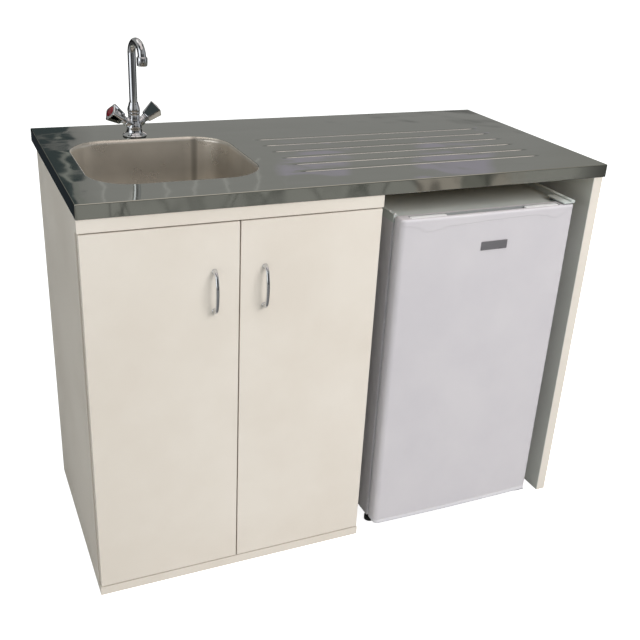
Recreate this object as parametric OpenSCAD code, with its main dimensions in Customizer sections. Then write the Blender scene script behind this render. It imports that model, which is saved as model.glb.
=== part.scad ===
// Kitchenette unit: stainless sink top on a two-door cupboard, with an under-counter fridge in the bay.
// Millimetres, +Z up. The origin is on the floor, in the middle of the whole unit's outline.

/* [Worktop] */
// Overall width of the worktop
top_w = 1200; // [1170:10:1500]
// Overall depth of the worktop
top_d = 600; // [590:5:680]
// Height of the working surface above the floor
top_h = 900; // [870:5:940]
// Height of the turned-down steel edge
apron_h = 29; // [24:1:38]
// Thickness of the stainless sheet
sheet_t = 0.8; // [0.6:0.1:1.2]

/* [Drainer] */
// Number of pressed grooves
groove_count = 6; // [3:1:7]
// Distance from one groove to the next
groove_pitch = 55; // [48:1:60]
// Width of a groove at the surface
groove_w = 16; // [10:1:22]
// Depth of a groove
groove_depth = 1.6; // [1:0.1:2.4]
// Distance from the bowl to the grooves
groove_from_bowl = 48; // [30:1:90]
// Distance from the grooves to the worktop's right edge
groove_end_in = 95; // [60:5:150]

/* [Sink bowl] */
// Distance from the worktop's left edge to the bowl
bowl_in = 53; // [45:1:80]
// Distance from the worktop's front edge to the bowl
bowl_front_in = 101; // [80:1:120]
// Width of the bowl's mouth
bowl_w = 359; // [320:1:400]
// Distance from the bowl's back edge to the worktop's back edge
bowl_behind = 151; // [140:1:180]
// Corner radius of the bowl's mouth
bowl_r = 90; // [60:1:110]
// Inside height of the bowl
bowl_depth = 160; // [130:5:190]
// How far the bowl's walls lean in on each side
bowl_draft = 12; // [6:1:18]
// Fillet between the bowl's walls and floor
bowl_fillet = 28; // [15:1:35]
// Thickness of the bowl's sheet
bowl_t = 0.8; // [0.6:0.1:1.2]
// Width of the rim that is welded under the worktop sheet
rim_w = 8; // [5:1:12]

/* [Waste] */
// Outer radius of the strainer cup
waste_r = 41; // [38:1:44]
// Outer radius of the strainer flange
flange_r = 55; // [52:1:58]
// Depth of the strainer cup
waste_depth = 30; // [25:1:36]
// Wall of the strainer cup
waste_t = 1.2; // [1:0.1:1.6]
// Outer radius of the waste pipe
pipe_r = 20; // [18:0.5:21]
// Wall of the waste pipe
pipe_t = 2; // [1.5:0.1:3]
// Bend radius of the trap
trap_bend_r = 38; // [34:1:42]
// Straight inlet of the trap
trap_inlet_h = 68; // [60:1:90]
// How far the waste pipe stops short of the worktop's back edge
pipe_back_in = 15; // [5:1:40]

/* [Tap] */
// Distance from the worktop's left edge to the tap's axis
tap_in = 218; // [180:1:260]
// Distance from the bowl's back edge to the tap's axis
tap_behind_bowl = 32; // [30:1:40]
// Radius of the tap's base
tap_base_r = 27; // [26:0.5:30]
// Height of the tap's body above its base
tap_body_h = 48; // [44:1:56]
// Height of the spout's top above the worktop
spout_top_h = 222.5; // [190:0.5:260]
// Radius of the spout tube
spout_r = 9; // [8:0.5:9.5]
// Wall of the spout tube
spout_t = 1.4; // [1:0.1:2]
// Radius of the spout's bend, on the tube's axis
spout_bend_r = 27.5; // [24:0.5:60]
// Height of the aerator
aerator_h = 20; // [20:1:28]
// Radius of the aerator
aerator_r = 12; // [11.5:0.5:14]
// How far the tap is turned in its hole, in degrees
tap_turn = 11; // [0:1:30]
// Angle of the two valves above level
valve_tilt = 34; // [25:1:40]
// Distance from the tap's axis to a knob's outer end
knob_end = 69; // [66:1:84]
// Length of a knob
knob_len = 34; // [30:0.5:36]
// Half width across a knob's flats at its outer end
knob_half = 16; // [15:0.5:20]
// Radius of the valve spindle
spindle_r = 4; // [3:0.5:5]

/* [Cupboard] */
// Width of the cupboard
cab_w = 626.5; // [600:0.5:640]
// How far the cupboard's side stands in from the worktop's left edge
side_in = 0.5; // [0:0.5:5]
// Thickness of the carcass boards
board_t = 16; // [15:1:19]
// How far the carcass stops short of the worktop's back edge
carcass_back_in = 88; // [60:1:100]
// Thickness of the doors
door_t = 16; // [16:1:19]
// How far the doors' faces stand behind the worktop's front edge
front_in = 2; // [0:0.5:8]
// Space between a door's back and the carcass
door_air = 4; // [4:0.5:6]
// Gap between doors, fascia and bottom strip
door_gap = 3; // [2:0.5:4]
// Gap from the cupboard's side to a door's outer edge
door_reveal = 2.5; // [2:0.5:4]
// Height of the fascia under the worktop
fascia_h = 27; // [20:1:60]
// Height of the strip under the doors
strip_h = 21; // [18:1:80]
// Height of the rail across the back of the fridge bay
bay_rail_h = 100; // [60:5:140]
// Distance between that rail's two wall-fixing holes
wall_hole_pitch = 320; // [200:10:440]
// Radius of a wall-fixing hole
wall_hole_r = 3; // [2:0.25:4]
// Thickness of the end panel
end_t = 25; // [18:1:28]
// How far the end panel stands in from the worktop's right edge
end_in = 6; // [0:0.5:12]

/* [Door furniture] */
// Distance between a handle's two posts
handle_cc = 85; // [76:1:96]
// Distance from a door's top edge down to its handle's middle
handle_drop = 142; // [110:1:220]
// Distance from a handle to the gap between the doors
handle_in = 51.5; // [40:0.5:70]
// How far a handle stands out from the door
handle_out = 25; // [22:0.5:32]
// Radius of the handle's bar
handle_bar_r = 4; // [3:0.5:4.5]
// Radius of a handle's foot
handle_foot_r = 6; // [5.5:0.5:8]
// Radius of a handle screw
handle_screw_r = 2; // [1.5:0.1:2.2]
// Radius of a hinge cup
cup_r = 17.5; // [17.5:0.5:20]
// Depth of a hinge cup
cup_depth = 12; // [12:0.1:12.4]
// Distance from a hinge's middle to the door's end
hinge_in = 95; // [70:1:140]

/* [Fridge] */
// Gap between the cupboard and the fridge
fridge_side_gap = 37; // [36:1:42]
// Gap between the fridge and the end panel
fridge_far_gap = 57; // [50:1:80]
// Gap between the fridge's back and the rail behind it
fridge_back_gap = 19; // [15:1:40]
// Gap between the fridge's top and the worktop
fridge_head_gap = 45; // [35:1:60]
// Height of the fridge's feet
foot_h = 30; // [26:1:36]
// How far the fridge door stands proud of the worktop's front edge
fridge_proud = 20; // [14:0.5:21]
// Thickness of the fridge door
fdoor_t = 38; // [36:0.5:44]
// How much the fridge door's face is bowed
fdoor_bow = 3; // [1:0.5:4]
// Rounding of the fridge door's upright edges
fdoor_edge_r = 12; // [6:1:14]
// Height of the door's top cap
cap_h = 32; // [26:1:40]
// Width of the finger trough in the top cap
trough_w = 18; // [12:1:18]
// Depth of the finger trough in the top cap
trough_depth = 16; // [10:1:20]
// Insulated wall of the fridge's sides
fwall_t = 32; // [28:1:36]
// Sheet thickness of the fridge's shell
shell_t = 0.8; // [0.6:0.1:1]
// Wall of the fridge's liner
liner_t = 2; // [1.5:0.1:2.5]
// Depth of the pocket for the compressor
pocket_d = 150; // [145:1:160]
// Height of the pocket for the compressor
pocket_h = 200; // [190:1:215]
// Thickness of the fridge's top plate
cover_t = 12; // [10:1:14]
// Height of the raised rims on the fridge's top
cover_rim_h = 14; // [12:1:16]

/* [Hidden] */
$fn = 64;
round_fn = 32;
eps = 0.02;
fit = 0.05; // running clearance of a pin or shaft, on the radius
slip = 0.2; // clearance between pieces that stay put
air = 0.3; // clearance between pieces that move past each other

cream = [0.87, 0.835, 0.785];
steel = [0.55, 0.56, 0.53];
chrome_grey = [0.75, 0.76, 0.77];
fridge_white = [0.88, 0.87, 0.89];
liner_white = [0.93, 0.94, 0.95];
pipe_white = [0.90, 0.90, 0.88];
rubber_black = [0.12, 0.12, 0.12];
foam_yellow = [0.86, 0.78, 0.55];

// whole unit: x from the worktop's left edge, y back from its front edge
handle_reach = handle_out - front_in;
unit_x = -top_w / 2;
unit_y = (handle_reach - top_d) / 2;

// worktop and sink
core_z0 = top_h - apron_h;
core_z1 = top_h - sheet_t;
bowl_d = top_d - bowl_front_in - bowl_behind;
bowl_x1 = bowl_in + bowl_w;
bowl_y1 = bowl_front_in + bowl_d;
bowl_cx = bowl_in + bowl_w / 2;
bowl_cy = bowl_front_in + bowl_d / 2;
bowl_floor_z = top_h - bowl_depth;
bowl_low_r = bowl_r - bowl_draft;
rebate_grow = rim_w + 1;
core_cut_grow = bowl_t + 1;
groove_x0 = bowl_x1 + groove_from_bowl;
groove_x1 = top_w - groove_end_in;
groove_shift = 26.5;
groove_y0 = bowl_cy - groove_pitch * (groove_count - 1) / 2 - groove_shift;

// waste
cup_floor_z = bowl_floor_z - waste_depth;
spigot_len = 40;
spigot_z0 = cup_floor_z - spigot_len;
spigot_bore_r = pipe_r - pipe_t;
seal_t = 3;
ring_nut_h = 12;
coupling_r = pipe_r + 8;
coupling_h = 34;
trap_top_z = spigot_z0;
joint_collar = 2;
joint_collar_h = 4;
nut_skirt = 12;
trap_low_z = trap_top_z - trap_inlet_h;
trap_rise = 20;
trap_out_z = trap_low_z + trap_rise + trap_bend_r;
trap_out_y = bowl_cy + 3 * trap_bend_r;
trap_end_y = trap_out_y + nut_skirt + joint_collar_h + 2;
pipe_end_y = top_d - pipe_back_in;
pipe_free = 65;
collar_t = 1.6;
basket_rim_r = waste_r - waste_t - 1.3;
basket_r = basket_rim_r - 2.5;
basket_h = waste_depth - 9;
basket_t = 1;
basket_holes = 20;
basket_hole_r = 2;

// tap
tap_y = bowl_y1 + tap_behind_bowl;
tap_seal_t = 1.2;
tap_z = top_h + tap_seal_t;
tap_top_z = tap_z + tap_body_h;
tap_hole_r = 17;
valve_rise = 21.5;
valve_z = top_h + valve_rise;
inlet_r = 4.2;
inlet_in = 10.5;
inlet_depth = 18;
stud_r = 3;
stud_in = 11;
stud_len = 56;
stud_bite = 8;
clamp_r = 26;
clamp_t = 3;
clamp_cut = 5;
nut_flat_r = 6.5;
nut_h = 5;
neck_r = 8.5;
knob_start = knob_end - knob_len;
neck_end = knob_start - 0.5;
spindle_in = 16;
spindle_out = knob_start + 20;
socket_depth = 12;
nut_band_h = 12;
nut_h_all = 28;
nut_r = 14.5;
nut_low_r = 13.5;
spout_top_z = top_h + spout_top_h;
bend_z = spout_top_z - spout_r - spout_bend_r;
aerator_overlap = 7;
index_r = 12;
index_t = 1.6;
index_sunk = 1;

// cupboard
cab_x0 = side_in;
cab_x1 = side_in + cab_w;
cab_mid = (cab_x0 + cab_x1) / 2;
in_x0 = cab_x0 + board_t;
in_x1 = cab_x1 - board_t;
door_y0 = front_in;
door_y1 = door_y0 + door_t;
carc_y0 = door_y1 + door_air;
carc_y1 = top_d - carcass_back_in;
door_z0 = strip_h + door_gap;
door_z1 = core_z0 - fascia_h - door_gap;
door_w = (cab_w - 2 * door_reveal - door_gap) / 2;
door_x0 = cab_x0 + door_reveal;
door_x1 = door_x0 + door_w;
rail_t = door_t + door_air;
end_x1 = top_w - end_in;
end_x0 = end_x1 - end_t;
pipe_hole_r = pipe_r + 4;
bracket = 30;
bracket_w = 20;
bracket_t = 2;
bracket_front_in = 150;
bracket_ys = [carc_y0 + bracket_front_in, carc_y1 - 70];

// concealed hinges
pivot_in = 8;
pivot_back = 8.2;
pivot_x = door_x0 + pivot_in;
pivot_y = door_y1 - pivot_back;
cup_wall = 0.8;
cup_edge_in = 3.5;
cup_x = door_x0 + cup_edge_in + cup_r;
hinge_pin_r = 1.2;
hinge_pin_len = 2 * sqrt(pow(cup_r, 2) - pow(cup_x - pivot_x + hinge_pin_r, 2));
eye_r = 2.4;
arm_t = 2.4;
arm_h = 8;
arm_clear = 0.6;
arm_x0 = pivot_x + pivot_back + arm_clear;
arm_len = 44;
plate_in = 6;
arm_back_y = carc_y0 + arm_len;
plate_y0 = carc_y0 + plate_in;
plate_h = 32;
hinge_zs = [door_z0 + hinge_in, door_z1 - hinge_in];

// handles
handle_x = door_x1 - handle_in;
handle_mid_h = door_z1 - handle_drop;
handle_zs = [handle_mid_h - handle_cc / 2, handle_mid_h + handle_cc / 2];
bow_rise = 9;
bow_y = door_y0 - handle_out + handle_bar_r;
bow_r = (pow(handle_cc / 2, 2) + pow(bow_rise, 2)) / (2 * bow_rise);
bow_half = asin(handle_cc / 2 / bow_r);
post_len = handle_out - handle_bar_r - bow_rise;
foot_t = 2;
screw_bite = 8;
screw_head_r = 4;
screw_head_h = 2;

// fridge body
fx0 = cab_x1 + fridge_side_gap;
fx1 = end_x0 - fridge_far_gap;
fridge_w = fx1 - fx0;
gasket_t = 8.3;
gasket_gap = 0.7;
fdoor_y0 = -fridge_proud;
fdoor_y1 = fdoor_y0 + fdoor_t;
fb_y0 = fdoor_y1 + gasket_t + gasket_gap;
fb_y1 = carc_y1 - board_t - fridge_back_gap;
fb_z0 = foot_h;
fb_z1 = core_z0 - fridge_head_gap - cover_rim_h - cover_t;
cover_front = 4;
cover_y0 = fb_y0 - cover_front;
rim_w_top = 18;
hood_len = 30;
hood_w = 6;
fin_x0 = fx0 + fwall_t;
fin_x1 = fx1 - fwall_t;
back_extra = 5;
floor_wall = 45;
top_extra = 3;
fin_y1 = fb_y1 - fwall_t - back_extra;
fin_z0 = fb_z0 + floor_wall;
fin_z1 = fb_z1 - fwall_t - top_extra;
pocket_floor = 16;
pocket_y0 = fb_y1 - pocket_d;
pocket_z0 = fb_z0 + pocket_floor;
pocket_z1 = pocket_z0 + pocket_h;
step_y = pocket_y0 - fwall_t;
step_z = pocket_z1 + fwall_t;
shelf_rib = 6;
shelf_front_in = 65;
shelf_rod_r = 2;
shelf_frame_r = 3;
shelf_rods = 13;
fit_side = 4;
shelf_rise = 150;
shelf_end_in = 8;
shelf_zs = [step_z + fit_side + shelf_frame_r, step_z + shelf_rise];
crisper_t = 2;
crisper_front_in = 60;
crisper_back_gap = 5;
crisper_head_gap = 24;
icebox_h = 105;
icebox_front_in = 160;
icebox_y0 = fb_y0 + icebox_front_in;
icebox_t = 3;
icebox_back_gap = 3;
flap_t = 2.5;
flap_pin_r = 2;
ear_len = 8;
boss_r = 22;
boss_t = 8;
dial_rise = 330;
dial_front_in = 125;
dial_z = step_z + dial_rise;
dial_y = fb_y0 + dial_front_in;
dial_r = 18;
dial_t = 12;
comp_r = 62;
comp_can_h = 66;
comp_plate_w = 168;
comp_plate_d = 116;
comp_plate_t = 3;
grommet_r = 9;
grommet_h = 10;
grommet_in = 14;

// fridge door
fdoor_low = 1;
fdoor_rise = 17;
fdoor_z0 = fb_z0 + fdoor_low;
fdoor_z1 = fb_z1 + fdoor_rise;
fdoor_mid = (fx0 + fx1) / 2;
cap_low_h = 12;
skin_z0 = fdoor_z0 + cap_low_h;
skin_z1 = fdoor_z1 - cap_h;
seal_in = 8;
seal_w = 14;
dike_clear = 12;
dike_t = 12;
dike_out = 42;
dike_x0 = fin_x0 + dike_clear;
dike_x1 = fin_x1 - dike_clear;
dike_z0 = fin_z0 + dike_clear;
dike_z1 = fin_z1 - dike_clear;
rack_t = 2;
rack_deep = 54;
rack_h = 62;
rack_low = 10;
rack_pitch = 260;
rack_top_in = 110;
rack_zs = [dike_z0 + rack_low, dike_z0 + rack_low + rack_pitch, dike_z1 - rack_top_in];
trough_in = 24;
badge_w = 68;
badge_h = 20;
badge_t = 1.2;
badge_drop = 76;
badge_off = 13;

// fridge hinges and feet
fpivot_x = fx1 - 13;
fpivot_y = (fdoor_y0 + fdoor_y1) / 2;
fhinge_pin_r = 3;
fhinge_t = 3;
fhinge_w = 26;
fhinge_front = 12;
fhinge_back = 43;
fhinge_edge = 2;
upper_plate_z = fdoor_z1 + 1.5;
foot_in = 20;
foot_pad_r = 13;
foot_pad_h = 10;
stem_r = 4;
stem_top = fb_z0 + 6;
foot_y = fb_y0 + foot_in;
rear_foot_y = fb_y1 - foot_in;

// ---------- shared shapes ----------

// places a shape that is drawn from the worktop's front left corner on the floor
module unit() {
  translate([unit_x, unit_y, 0]) children();
}

module mirror_cab() {
  translate([2 * cab_mid, 0, 0]) mirror([1, 0, 0]) children();
}

// a box given by two corners
module block(low, high) {
  translate(low) cube([high[0] - low[0], high[1] - low[1], high[2] - low[2]]);
}

// a plate with round corners, low corner at the origin
module round_plate(w, d, r, h) {
  linear_extrude(h) {
    translate([r, 0]) square([w - 2 * r, d]);
    translate([0, r]) square([w, d - 2 * r]);
    for (x = [r, w - r], y = [r, d - r]) translate([x, y]) circle(r);
  }
}

// the bowl's mouth outline, made larger by grow
module mouth(grow, z, h) {
  translate([bowl_in - grow, bowl_front_in - grow, z])
    round_plate(bowl_w + 2 * grow, bowl_d + 2 * grow, bowl_r + grow, h);
}

module ring(r_out, r_in, h) {
  difference() {
    cylinder(r = r_out, h = h);
    translate([0, 0, -1]) cylinder(r = r_in, h = h + 2);
  }
}

// along y, from the origin
module y_cylinder(r, len) {
  rotate([-90, 0, 0]) cylinder(r = r, h = len);
}

// along x, from the origin
module x_cylinder(r, len) {
  rotate([0, 90, 0]) cylinder(r = r, h = len);
}

// ---------- carcass ----------

module left_side_panel() color(cream) unit() {
  block([cab_x0, carc_y0, 0], [in_x0, carc_y1, core_z0]);
}

module right_side_panel() color(cream) unit() {
  block([in_x1, carc_y0, 0], [cab_x1, carc_y1, core_z0]);
}

module base_panel() color(cream) unit() {
  block([in_x0, carc_y0, strip_h - board_t], [in_x1, carc_y1 - board_t, strip_h]);
}

module back_panel() color(cream) unit() {
  difference() {
    block([in_x0, carc_y1 - board_t, strip_h - board_t], [in_x1, carc_y1, core_z0]);
    translate([bowl_cx, carc_y1 - board_t - 1, trap_out_z]) y_cylinder(pipe_hole_r, board_t + 2);
  }
}

module top_fascia() color(cream) unit() {
  block([cab_x0, door_y0, core_z0 - fascia_h], [cab_x1, door_y0 + rail_t, core_z0]);
}

module bottom_strip() color(cream) unit() {
  block([cab_x0, door_y0, 0], [cab_x1, door_y0 + rail_t, strip_h]);
}

module bay_rear_rail() color(cream) unit() {
  difference() {
    block([cab_x1, carc_y1 - board_t, core_z0 - bay_rail_h], [end_x0, carc_y1, core_z0]);
    for (side = [-1, 1]) {
      hole_x = (cab_x1 + end_x0 + side * wall_hole_pitch) / 2;
      translate([hole_x, carc_y1 - board_t - 1, core_z0 - bay_rail_h / 2])
        y_cylinder(wall_hole_r, board_t + 2);
    }
  }
}

module end_panel() color(cream) unit() {
  block([end_x0, door_y0, 0], [end_x1, carc_y1, core_z0]);
}

module angle_bracket(x, y, side) {
  leg = side > 0 ? [0, bracket_t] : [-bracket_t, 0];
  flat = side > 0 ? [0, bracket] : [-bracket, 0];
  block([x + leg[0], y, core_z0 - bracket], [x + leg[1], y + bracket_w, core_z0]);
  block([x + flat[0], y, core_z0 - bracket_t], [x + flat[1], y + bracket_w, core_z0]);
}

module worktop_brackets() color(chrome_grey) unit() {
  for (y = bracket_ys) {
    angle_bracket(in_x0, y, 1);
    angle_bracket(in_x1, y, -1);
    angle_bracket(end_x0, y, -1);
  }
}

// ---------- worktop ----------

// one groove's section swept along x, made larger by grow
module groove(y, grow) {
  half = groove_w / 2 + grow;
  foot = half - groove_depth;
  translate([groove_x0 - grow, y, core_z1 + sheet_t])
    rotate([90, 0, 90])
      linear_extrude(groove_x1 - groove_x0 + 2 * grow)
        polygon([[-half, 0], [-foot, -groove_depth - grow], [foot, -groove_depth - grow], [half, 0]]);
}

module grooves(grow) {
  for (i = [0 : groove_count - 1]) groove(groove_y0 + i * groove_pitch, grow);
}

module tap_hole(r) {
  translate([tap_in, tap_y, core_z0 - 1]) cylinder(r = r, h = apron_h + 2);
}

module worktop_board() color([0.72, 0.60, 0.44]) unit() {
  difference() {
    block([sheet_t, sheet_t, core_z0], [top_w - sheet_t, top_d - sheet_t, core_z1]);
    mouth(core_cut_grow, core_z0 - 1, apron_h + 2);
    mouth(rebate_grow, core_z1 - bowl_t - slip, bowl_t + 1);
    tap_hole(tap_hole_r + slip);
    grooves(sheet_t + slip);
  }
}

module steel_top() color(steel) unit() {
  difference() {
    union() {
      difference() {
        block([0, 0, core_z0], [top_w, top_d, top_h]);
        block([sheet_t, sheet_t, core_z0 - 1], [top_w - sheet_t, top_d - sheet_t, core_z1]);
      }
      grooves(sheet_t);
    }
    for (i = [0 : groove_count - 1])
      translate([0, 0, eps]) groove(groove_y0 + i * groove_pitch, 0);
    mouth(0, core_z1 - 1, sheet_t + 2);
    tap_hole(tap_hole_r);
  }
}

// ---------- sink ----------

// the bowl's hollow form, made larger by grow, down to depth below the worktop
module bowl_form(grow, depth) {
  low_x = bowl_in + bowl_r;
  low_y = bowl_front_in + bowl_r;
  fillet = bowl_fillet + grow;
  hull() {
    for (x = [low_x, bowl_x1 - bowl_r], y = [low_y, bowl_y1 - bowl_r]) {
      translate([x, y, core_z1 - 1]) cylinder(r = bowl_r + grow, h = 1, $fn = round_fn);
      translate([x, y, top_h - depth + fillet])
        rotate_extrude($fn = round_fn)
          translate([bowl_low_r + grow - fillet, 0]) circle(fillet, $fn = round_fn);
    }
  }
}

module sink_bowl() color([0.66, 0.63, 0.60]) unit() {
  difference() {
    union() {
      bowl_form(bowl_t, bowl_depth + bowl_t);
      mouth(rim_w, core_z1 - bowl_t, bowl_t);
    }
    bowl_form(0, bowl_depth);
    mouth(0, core_z1 - bowl_t - 1, bowl_t + 2);
    translate([bowl_cx, bowl_cy, bowl_floor_z - 5]) cylinder(r = waste_r + slip, h = 10);
  }
}

module waste_strainer() color(chrome_grey) unit() {
  translate([bowl_cx, bowl_cy, 0]) {
    translate([0, 0, bowl_floor_z]) ring(flange_r, waste_r - waste_t, waste_t);
    translate([0, 0, cup_floor_z]) ring(waste_r, waste_r - waste_t, waste_depth + waste_t);
    translate([0, 0, cup_floor_z]) ring(waste_r, spigot_bore_r, waste_t);
    translate([0, 0, spigot_z0]) ring(pipe_r, spigot_bore_r, spigot_len + waste_t);
  }
}

module strainer_basket() color(chrome_grey) unit() {
  floor_z = cup_floor_z + waste_t + air;
  translate([bowl_cx, bowl_cy, floor_z]) {
    difference() {
      union() {
        cylinder(r = basket_r, h = basket_h);
        translate([0, 0, basket_h - basket_t]) cylinder(r = basket_rim_r, h = basket_t);
      }
      translate([0, 0, basket_t]) cylinder(r = basket_r - basket_t, h = basket_h);
      for (i = [0 : basket_holes - 1])
        rotate([0, 0, i * 360 / basket_holes])
          translate([basket_r - 7, 0, -1]) cylinder(r = basket_hole_r, h = basket_t + 2);
    }
    cylinder(r = 3, h = basket_h + 4);
    translate([0, 0, basket_h]) cylinder(r = 7, h = 5);
  }
}

module waste_seal() color(rubber_black) unit() {
  translate([bowl_cx, bowl_cy, bowl_floor_z - bowl_t - seal_t]) ring(flange_r - 1, waste_r + slip, seal_t);
}

module waste_nuts() color(pipe_white) unit() {
  nut_z = bowl_floor_z - bowl_t - seal_t - ring_nut_h;
  lug = 5;
  translate([bowl_cx, bowl_cy, nut_z])
    difference() {
      union() {
        cylinder(r = flange_r - 6, h = ring_nut_h);
        for (a = [0 : 60 : 300]) rotate([0, 0, a]) block([0, -lug, 0], [flange_r - 1, lug, ring_nut_h]);
      }
      translate([0, 0, -1]) cylinder(r = waste_r + slip, h = ring_nut_h + 2);
    }
  translate([bowl_cx, bowl_cy, trap_top_z - joint_collar_h - nut_skirt]) coupling_nut();
  translate([bowl_cx, trap_end_y - joint_collar_h - nut_skirt, trap_out_z]) rotate([-90, 0, 0]) coupling_nut();
}

// a union nut whose shoulder bears on the trap's collar
module coupling_nut() {
  difference() {
    cylinder(r = coupling_r, h = coupling_h, $fn = 12);
    translate([0, 0, -1]) cylinder(r = pipe_r + slip, h = coupling_h);
    translate([0, 0, nut_skirt]) cylinder(r = pipe_r + joint_collar + slip, h = coupling_h);
  }
}

// a bent tube's path in the y-z plane, as a solid bar of radius r
module trap_bar(r, over) {
  up_y = bowl_cy + 2 * trap_bend_r;
  translate([bowl_cx, bowl_cy, trap_low_z]) cylinder(r = r, h = trap_inlet_h + over);
  translate([bowl_cx, bowl_cy + trap_bend_r, trap_low_z])
    rotate([0, 90, 0]) rotate([0, 0, -90]) rotate_extrude(angle = 180) translate([trap_bend_r, 0]) circle(r);
  translate([bowl_cx, up_y, trap_low_z]) cylinder(r = r, h = trap_rise);
  translate([bowl_cx, up_y + trap_bend_r, trap_low_z + trap_rise])
    rotate([0, 90, 0]) rotate([0, 0, 180]) rotate_extrude(angle = 90) translate([trap_bend_r, 0]) circle(r);
  translate([bowl_cx, trap_out_y, trap_out_z]) y_cylinder(r, trap_end_y - trap_out_y + over);
}

module p_trap() color(pipe_white) unit() {
  collar_r = pipe_r + joint_collar;
  difference() {
    union() {
      trap_bar(pipe_r, 0);
      translate([bowl_cx, bowl_cy, trap_top_z - joint_collar_h]) cylinder(r = collar_r, h = joint_collar_h);
      translate([bowl_cx, trap_end_y - joint_collar_h, trap_out_z]) y_cylinder(collar_r, joint_collar_h);
    }
    trap_bar(pipe_r - pipe_t, 1);
  }
}

module waste_pipe() color(pipe_white) unit() {
  collar_end = pipe_end_y - pipe_free;
  start = trap_end_y;
  translate([bowl_cx, 0, trap_out_z])
    difference() {
      union() {
        translate([0, start, 0]) y_cylinder(pipe_r, pipe_end_y - start);
        translate([0, start + coupling_h, 0]) y_cylinder(pipe_r + collar_t, collar_end - start - coupling_h);
      }
      translate([0, start - 1, 0]) y_cylinder(pipe_r - pipe_t, pipe_end_y - start + 2);
    }
}

// ---------- tap ----------

// places a shape on the tap's axis at height z, turned with the tap
module on_tap(z) {
  translate([tap_in, tap_y, z]) rotate([0, 0, tap_turn]) children();
}

// children drawn along +z are turned onto a valve's axis: side 1 to the right, -1 to the left
module valve_axis(side) {
  on_tap(valve_z) rotate([0, side * (90 - valve_tilt), 0]) children();
}

module tap_body() color(chrome_grey) unit() {
  difference() {
    union() {
      on_tap(tap_z)
        rotate_extrude()
          polygon([
            [0, 0], [tap_base_r, 0], [tap_base_r, 2.5], [23.5, 5], [19, 8], [17.6, 15],
            [17, 24], [14.5, 29], [nut_low_r, 36], [nut_low_r, tap_body_h], [0, tap_body_h]
          ]);
      for (side = [-1, 1]) valve_axis(side) {
        cylinder(r = 11, h = 25);
        cylinder(r = neck_r, h = neck_end);
      }
    }
    for (side = [-1, 1])
      valve_axis(side) translate([0, 0, spindle_in - air]) cylinder(r = spindle_r + fit, h = knob_end);
    on_tap(tap_top_z - socket_depth) cylinder(r = spout_r + fit, h = socket_depth + 1);
    for (side = [-1, 1])
      on_tap(tap_z - 1) translate([side * inlet_in, 0, 0]) cylinder(r = inlet_r, h = inlet_depth + 1);
    on_tap(tap_z - 1) translate([0, -stud_in, 0]) cylinder(r = stud_r + slip, h = stud_bite + 1);
  }
}

module tap_seal() color(rubber_black) unit() {
  translate([tap_in, tap_y, top_h]) ring(tap_base_r, tap_hole_r, tap_seal_t);
}

module tap_fixing() color(chrome_grey) unit() {
  clamp_z = core_z0 - clamp_t;
  on_tap(tap_z + stud_bite - stud_len) translate([0, -stud_in, 0]) cylinder(r = stud_r, h = stud_len);
  on_tap(clamp_z)
    difference() {
      cylinder(r = clamp_r, h = clamp_t);
      block([-clamp_r - 1, -clamp_cut, -1], [clamp_r + 1, clamp_r + 1, clamp_t + 1]);
      translate([0, -stud_in, -1]) cylinder(r = stud_r + slip, h = clamp_t + 2);
      for (side = [-1, 1]) translate([side * inlet_in, 0, -1]) cylinder(r = inlet_r + 2, h = clamp_t + 2);
    }
  on_tap(clamp_z - nut_h) translate([0, -stud_in, 0]) cylinder(r = nut_flat_r, h = nut_h, $fn = 6);
}

module spout_nut() color(chrome_grey) unit() {
  on_tap(tap_top_z)
    rotate_extrude()
      polygon([
        [spout_r + air, 0], [nut_low_r, 0], [nut_r, nut_band_h],
        [spout_r + 1.6, nut_h_all], [spout_r + air, nut_h_all]
      ]);
}

// the spout's path as a solid bar of radius r
module spout_bar(r, low_z, high_z) {
  on_tap(low_z) cylinder(r = r, h = bend_z - low_z);
  on_tap(bend_z) translate([0, -spout_bend_r, 0])
    rotate([0, -90, 0]) rotate([0, 0, -90]) rotate_extrude(angle = 180) translate([spout_bend_r, 0]) circle(r);
  on_tap(high_z) translate([0, -2 * spout_bend_r, 0]) cylinder(r = r, h = bend_z - high_z);
}

module spout() color(chrome_grey) unit() {
  low = tap_top_z - socket_depth + air;
  tip = bend_z - aerator_overlap;
  difference() {
    spout_bar(spout_r, low, tip);
    spout_bar(spout_r - spout_t, low - 1, tip - 1);
  }
}

module aerator() color(chrome_grey) unit() {
  lip = 1.5;
  on_tap(bend_z - aerator_h) translate([0, -2 * spout_bend_r, 0])
    difference() {
      union() {
        cylinder(r = aerator_r - 0.8, h = aerator_h);
        translate([0, 0, lip]) cylinder(r = aerator_r, h = aerator_h - 2 * lip);
      }
      translate([0, 0, -1]) cylinder(r = aerator_r - 3, h = 5);
      translate([0, 0, aerator_h - aerator_overlap]) cylinder(r = spout_r + slip, h = aerator_h);
      translate([0, 0, 3]) cylinder(r = spout_r - spout_t, h = aerator_h);
    }
}

// a knob that widens outwards, with four flats and round corners, standing on one corner
module knob_form(side) {
  corner = 5;
  inner = knob_half - 4.5;
  valve_axis(side)
    difference() {
      rotate([0, 0, 45])
        hull() {
          for (x = [-1, 1], y = [-1, 1]) {
            translate([x * (inner - corner), y * (inner - corner), knob_start])
              cylinder(r = corner, h = 1, $fn = round_fn);
            translate([x * (knob_half - corner), y * (knob_half - corner), knob_end - 2])
              cylinder(r1 = corner, r2 = corner - 1.5, h = 2, $fn = round_fn);
          }
        }
      translate([0, 0, knob_start - 1]) cylinder(r = spindle_r + slip, h = spindle_out - knob_start + 1);
      translate([0, 0, knob_end - index_sunk]) cylinder(r = index_r + slip, h = index_sunk + 1);
    }
}

module index_form(side) {
  valve_axis(side) translate([0, 0, knob_end - index_sunk]) cylinder(r = index_r, h = index_t);
}

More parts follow.
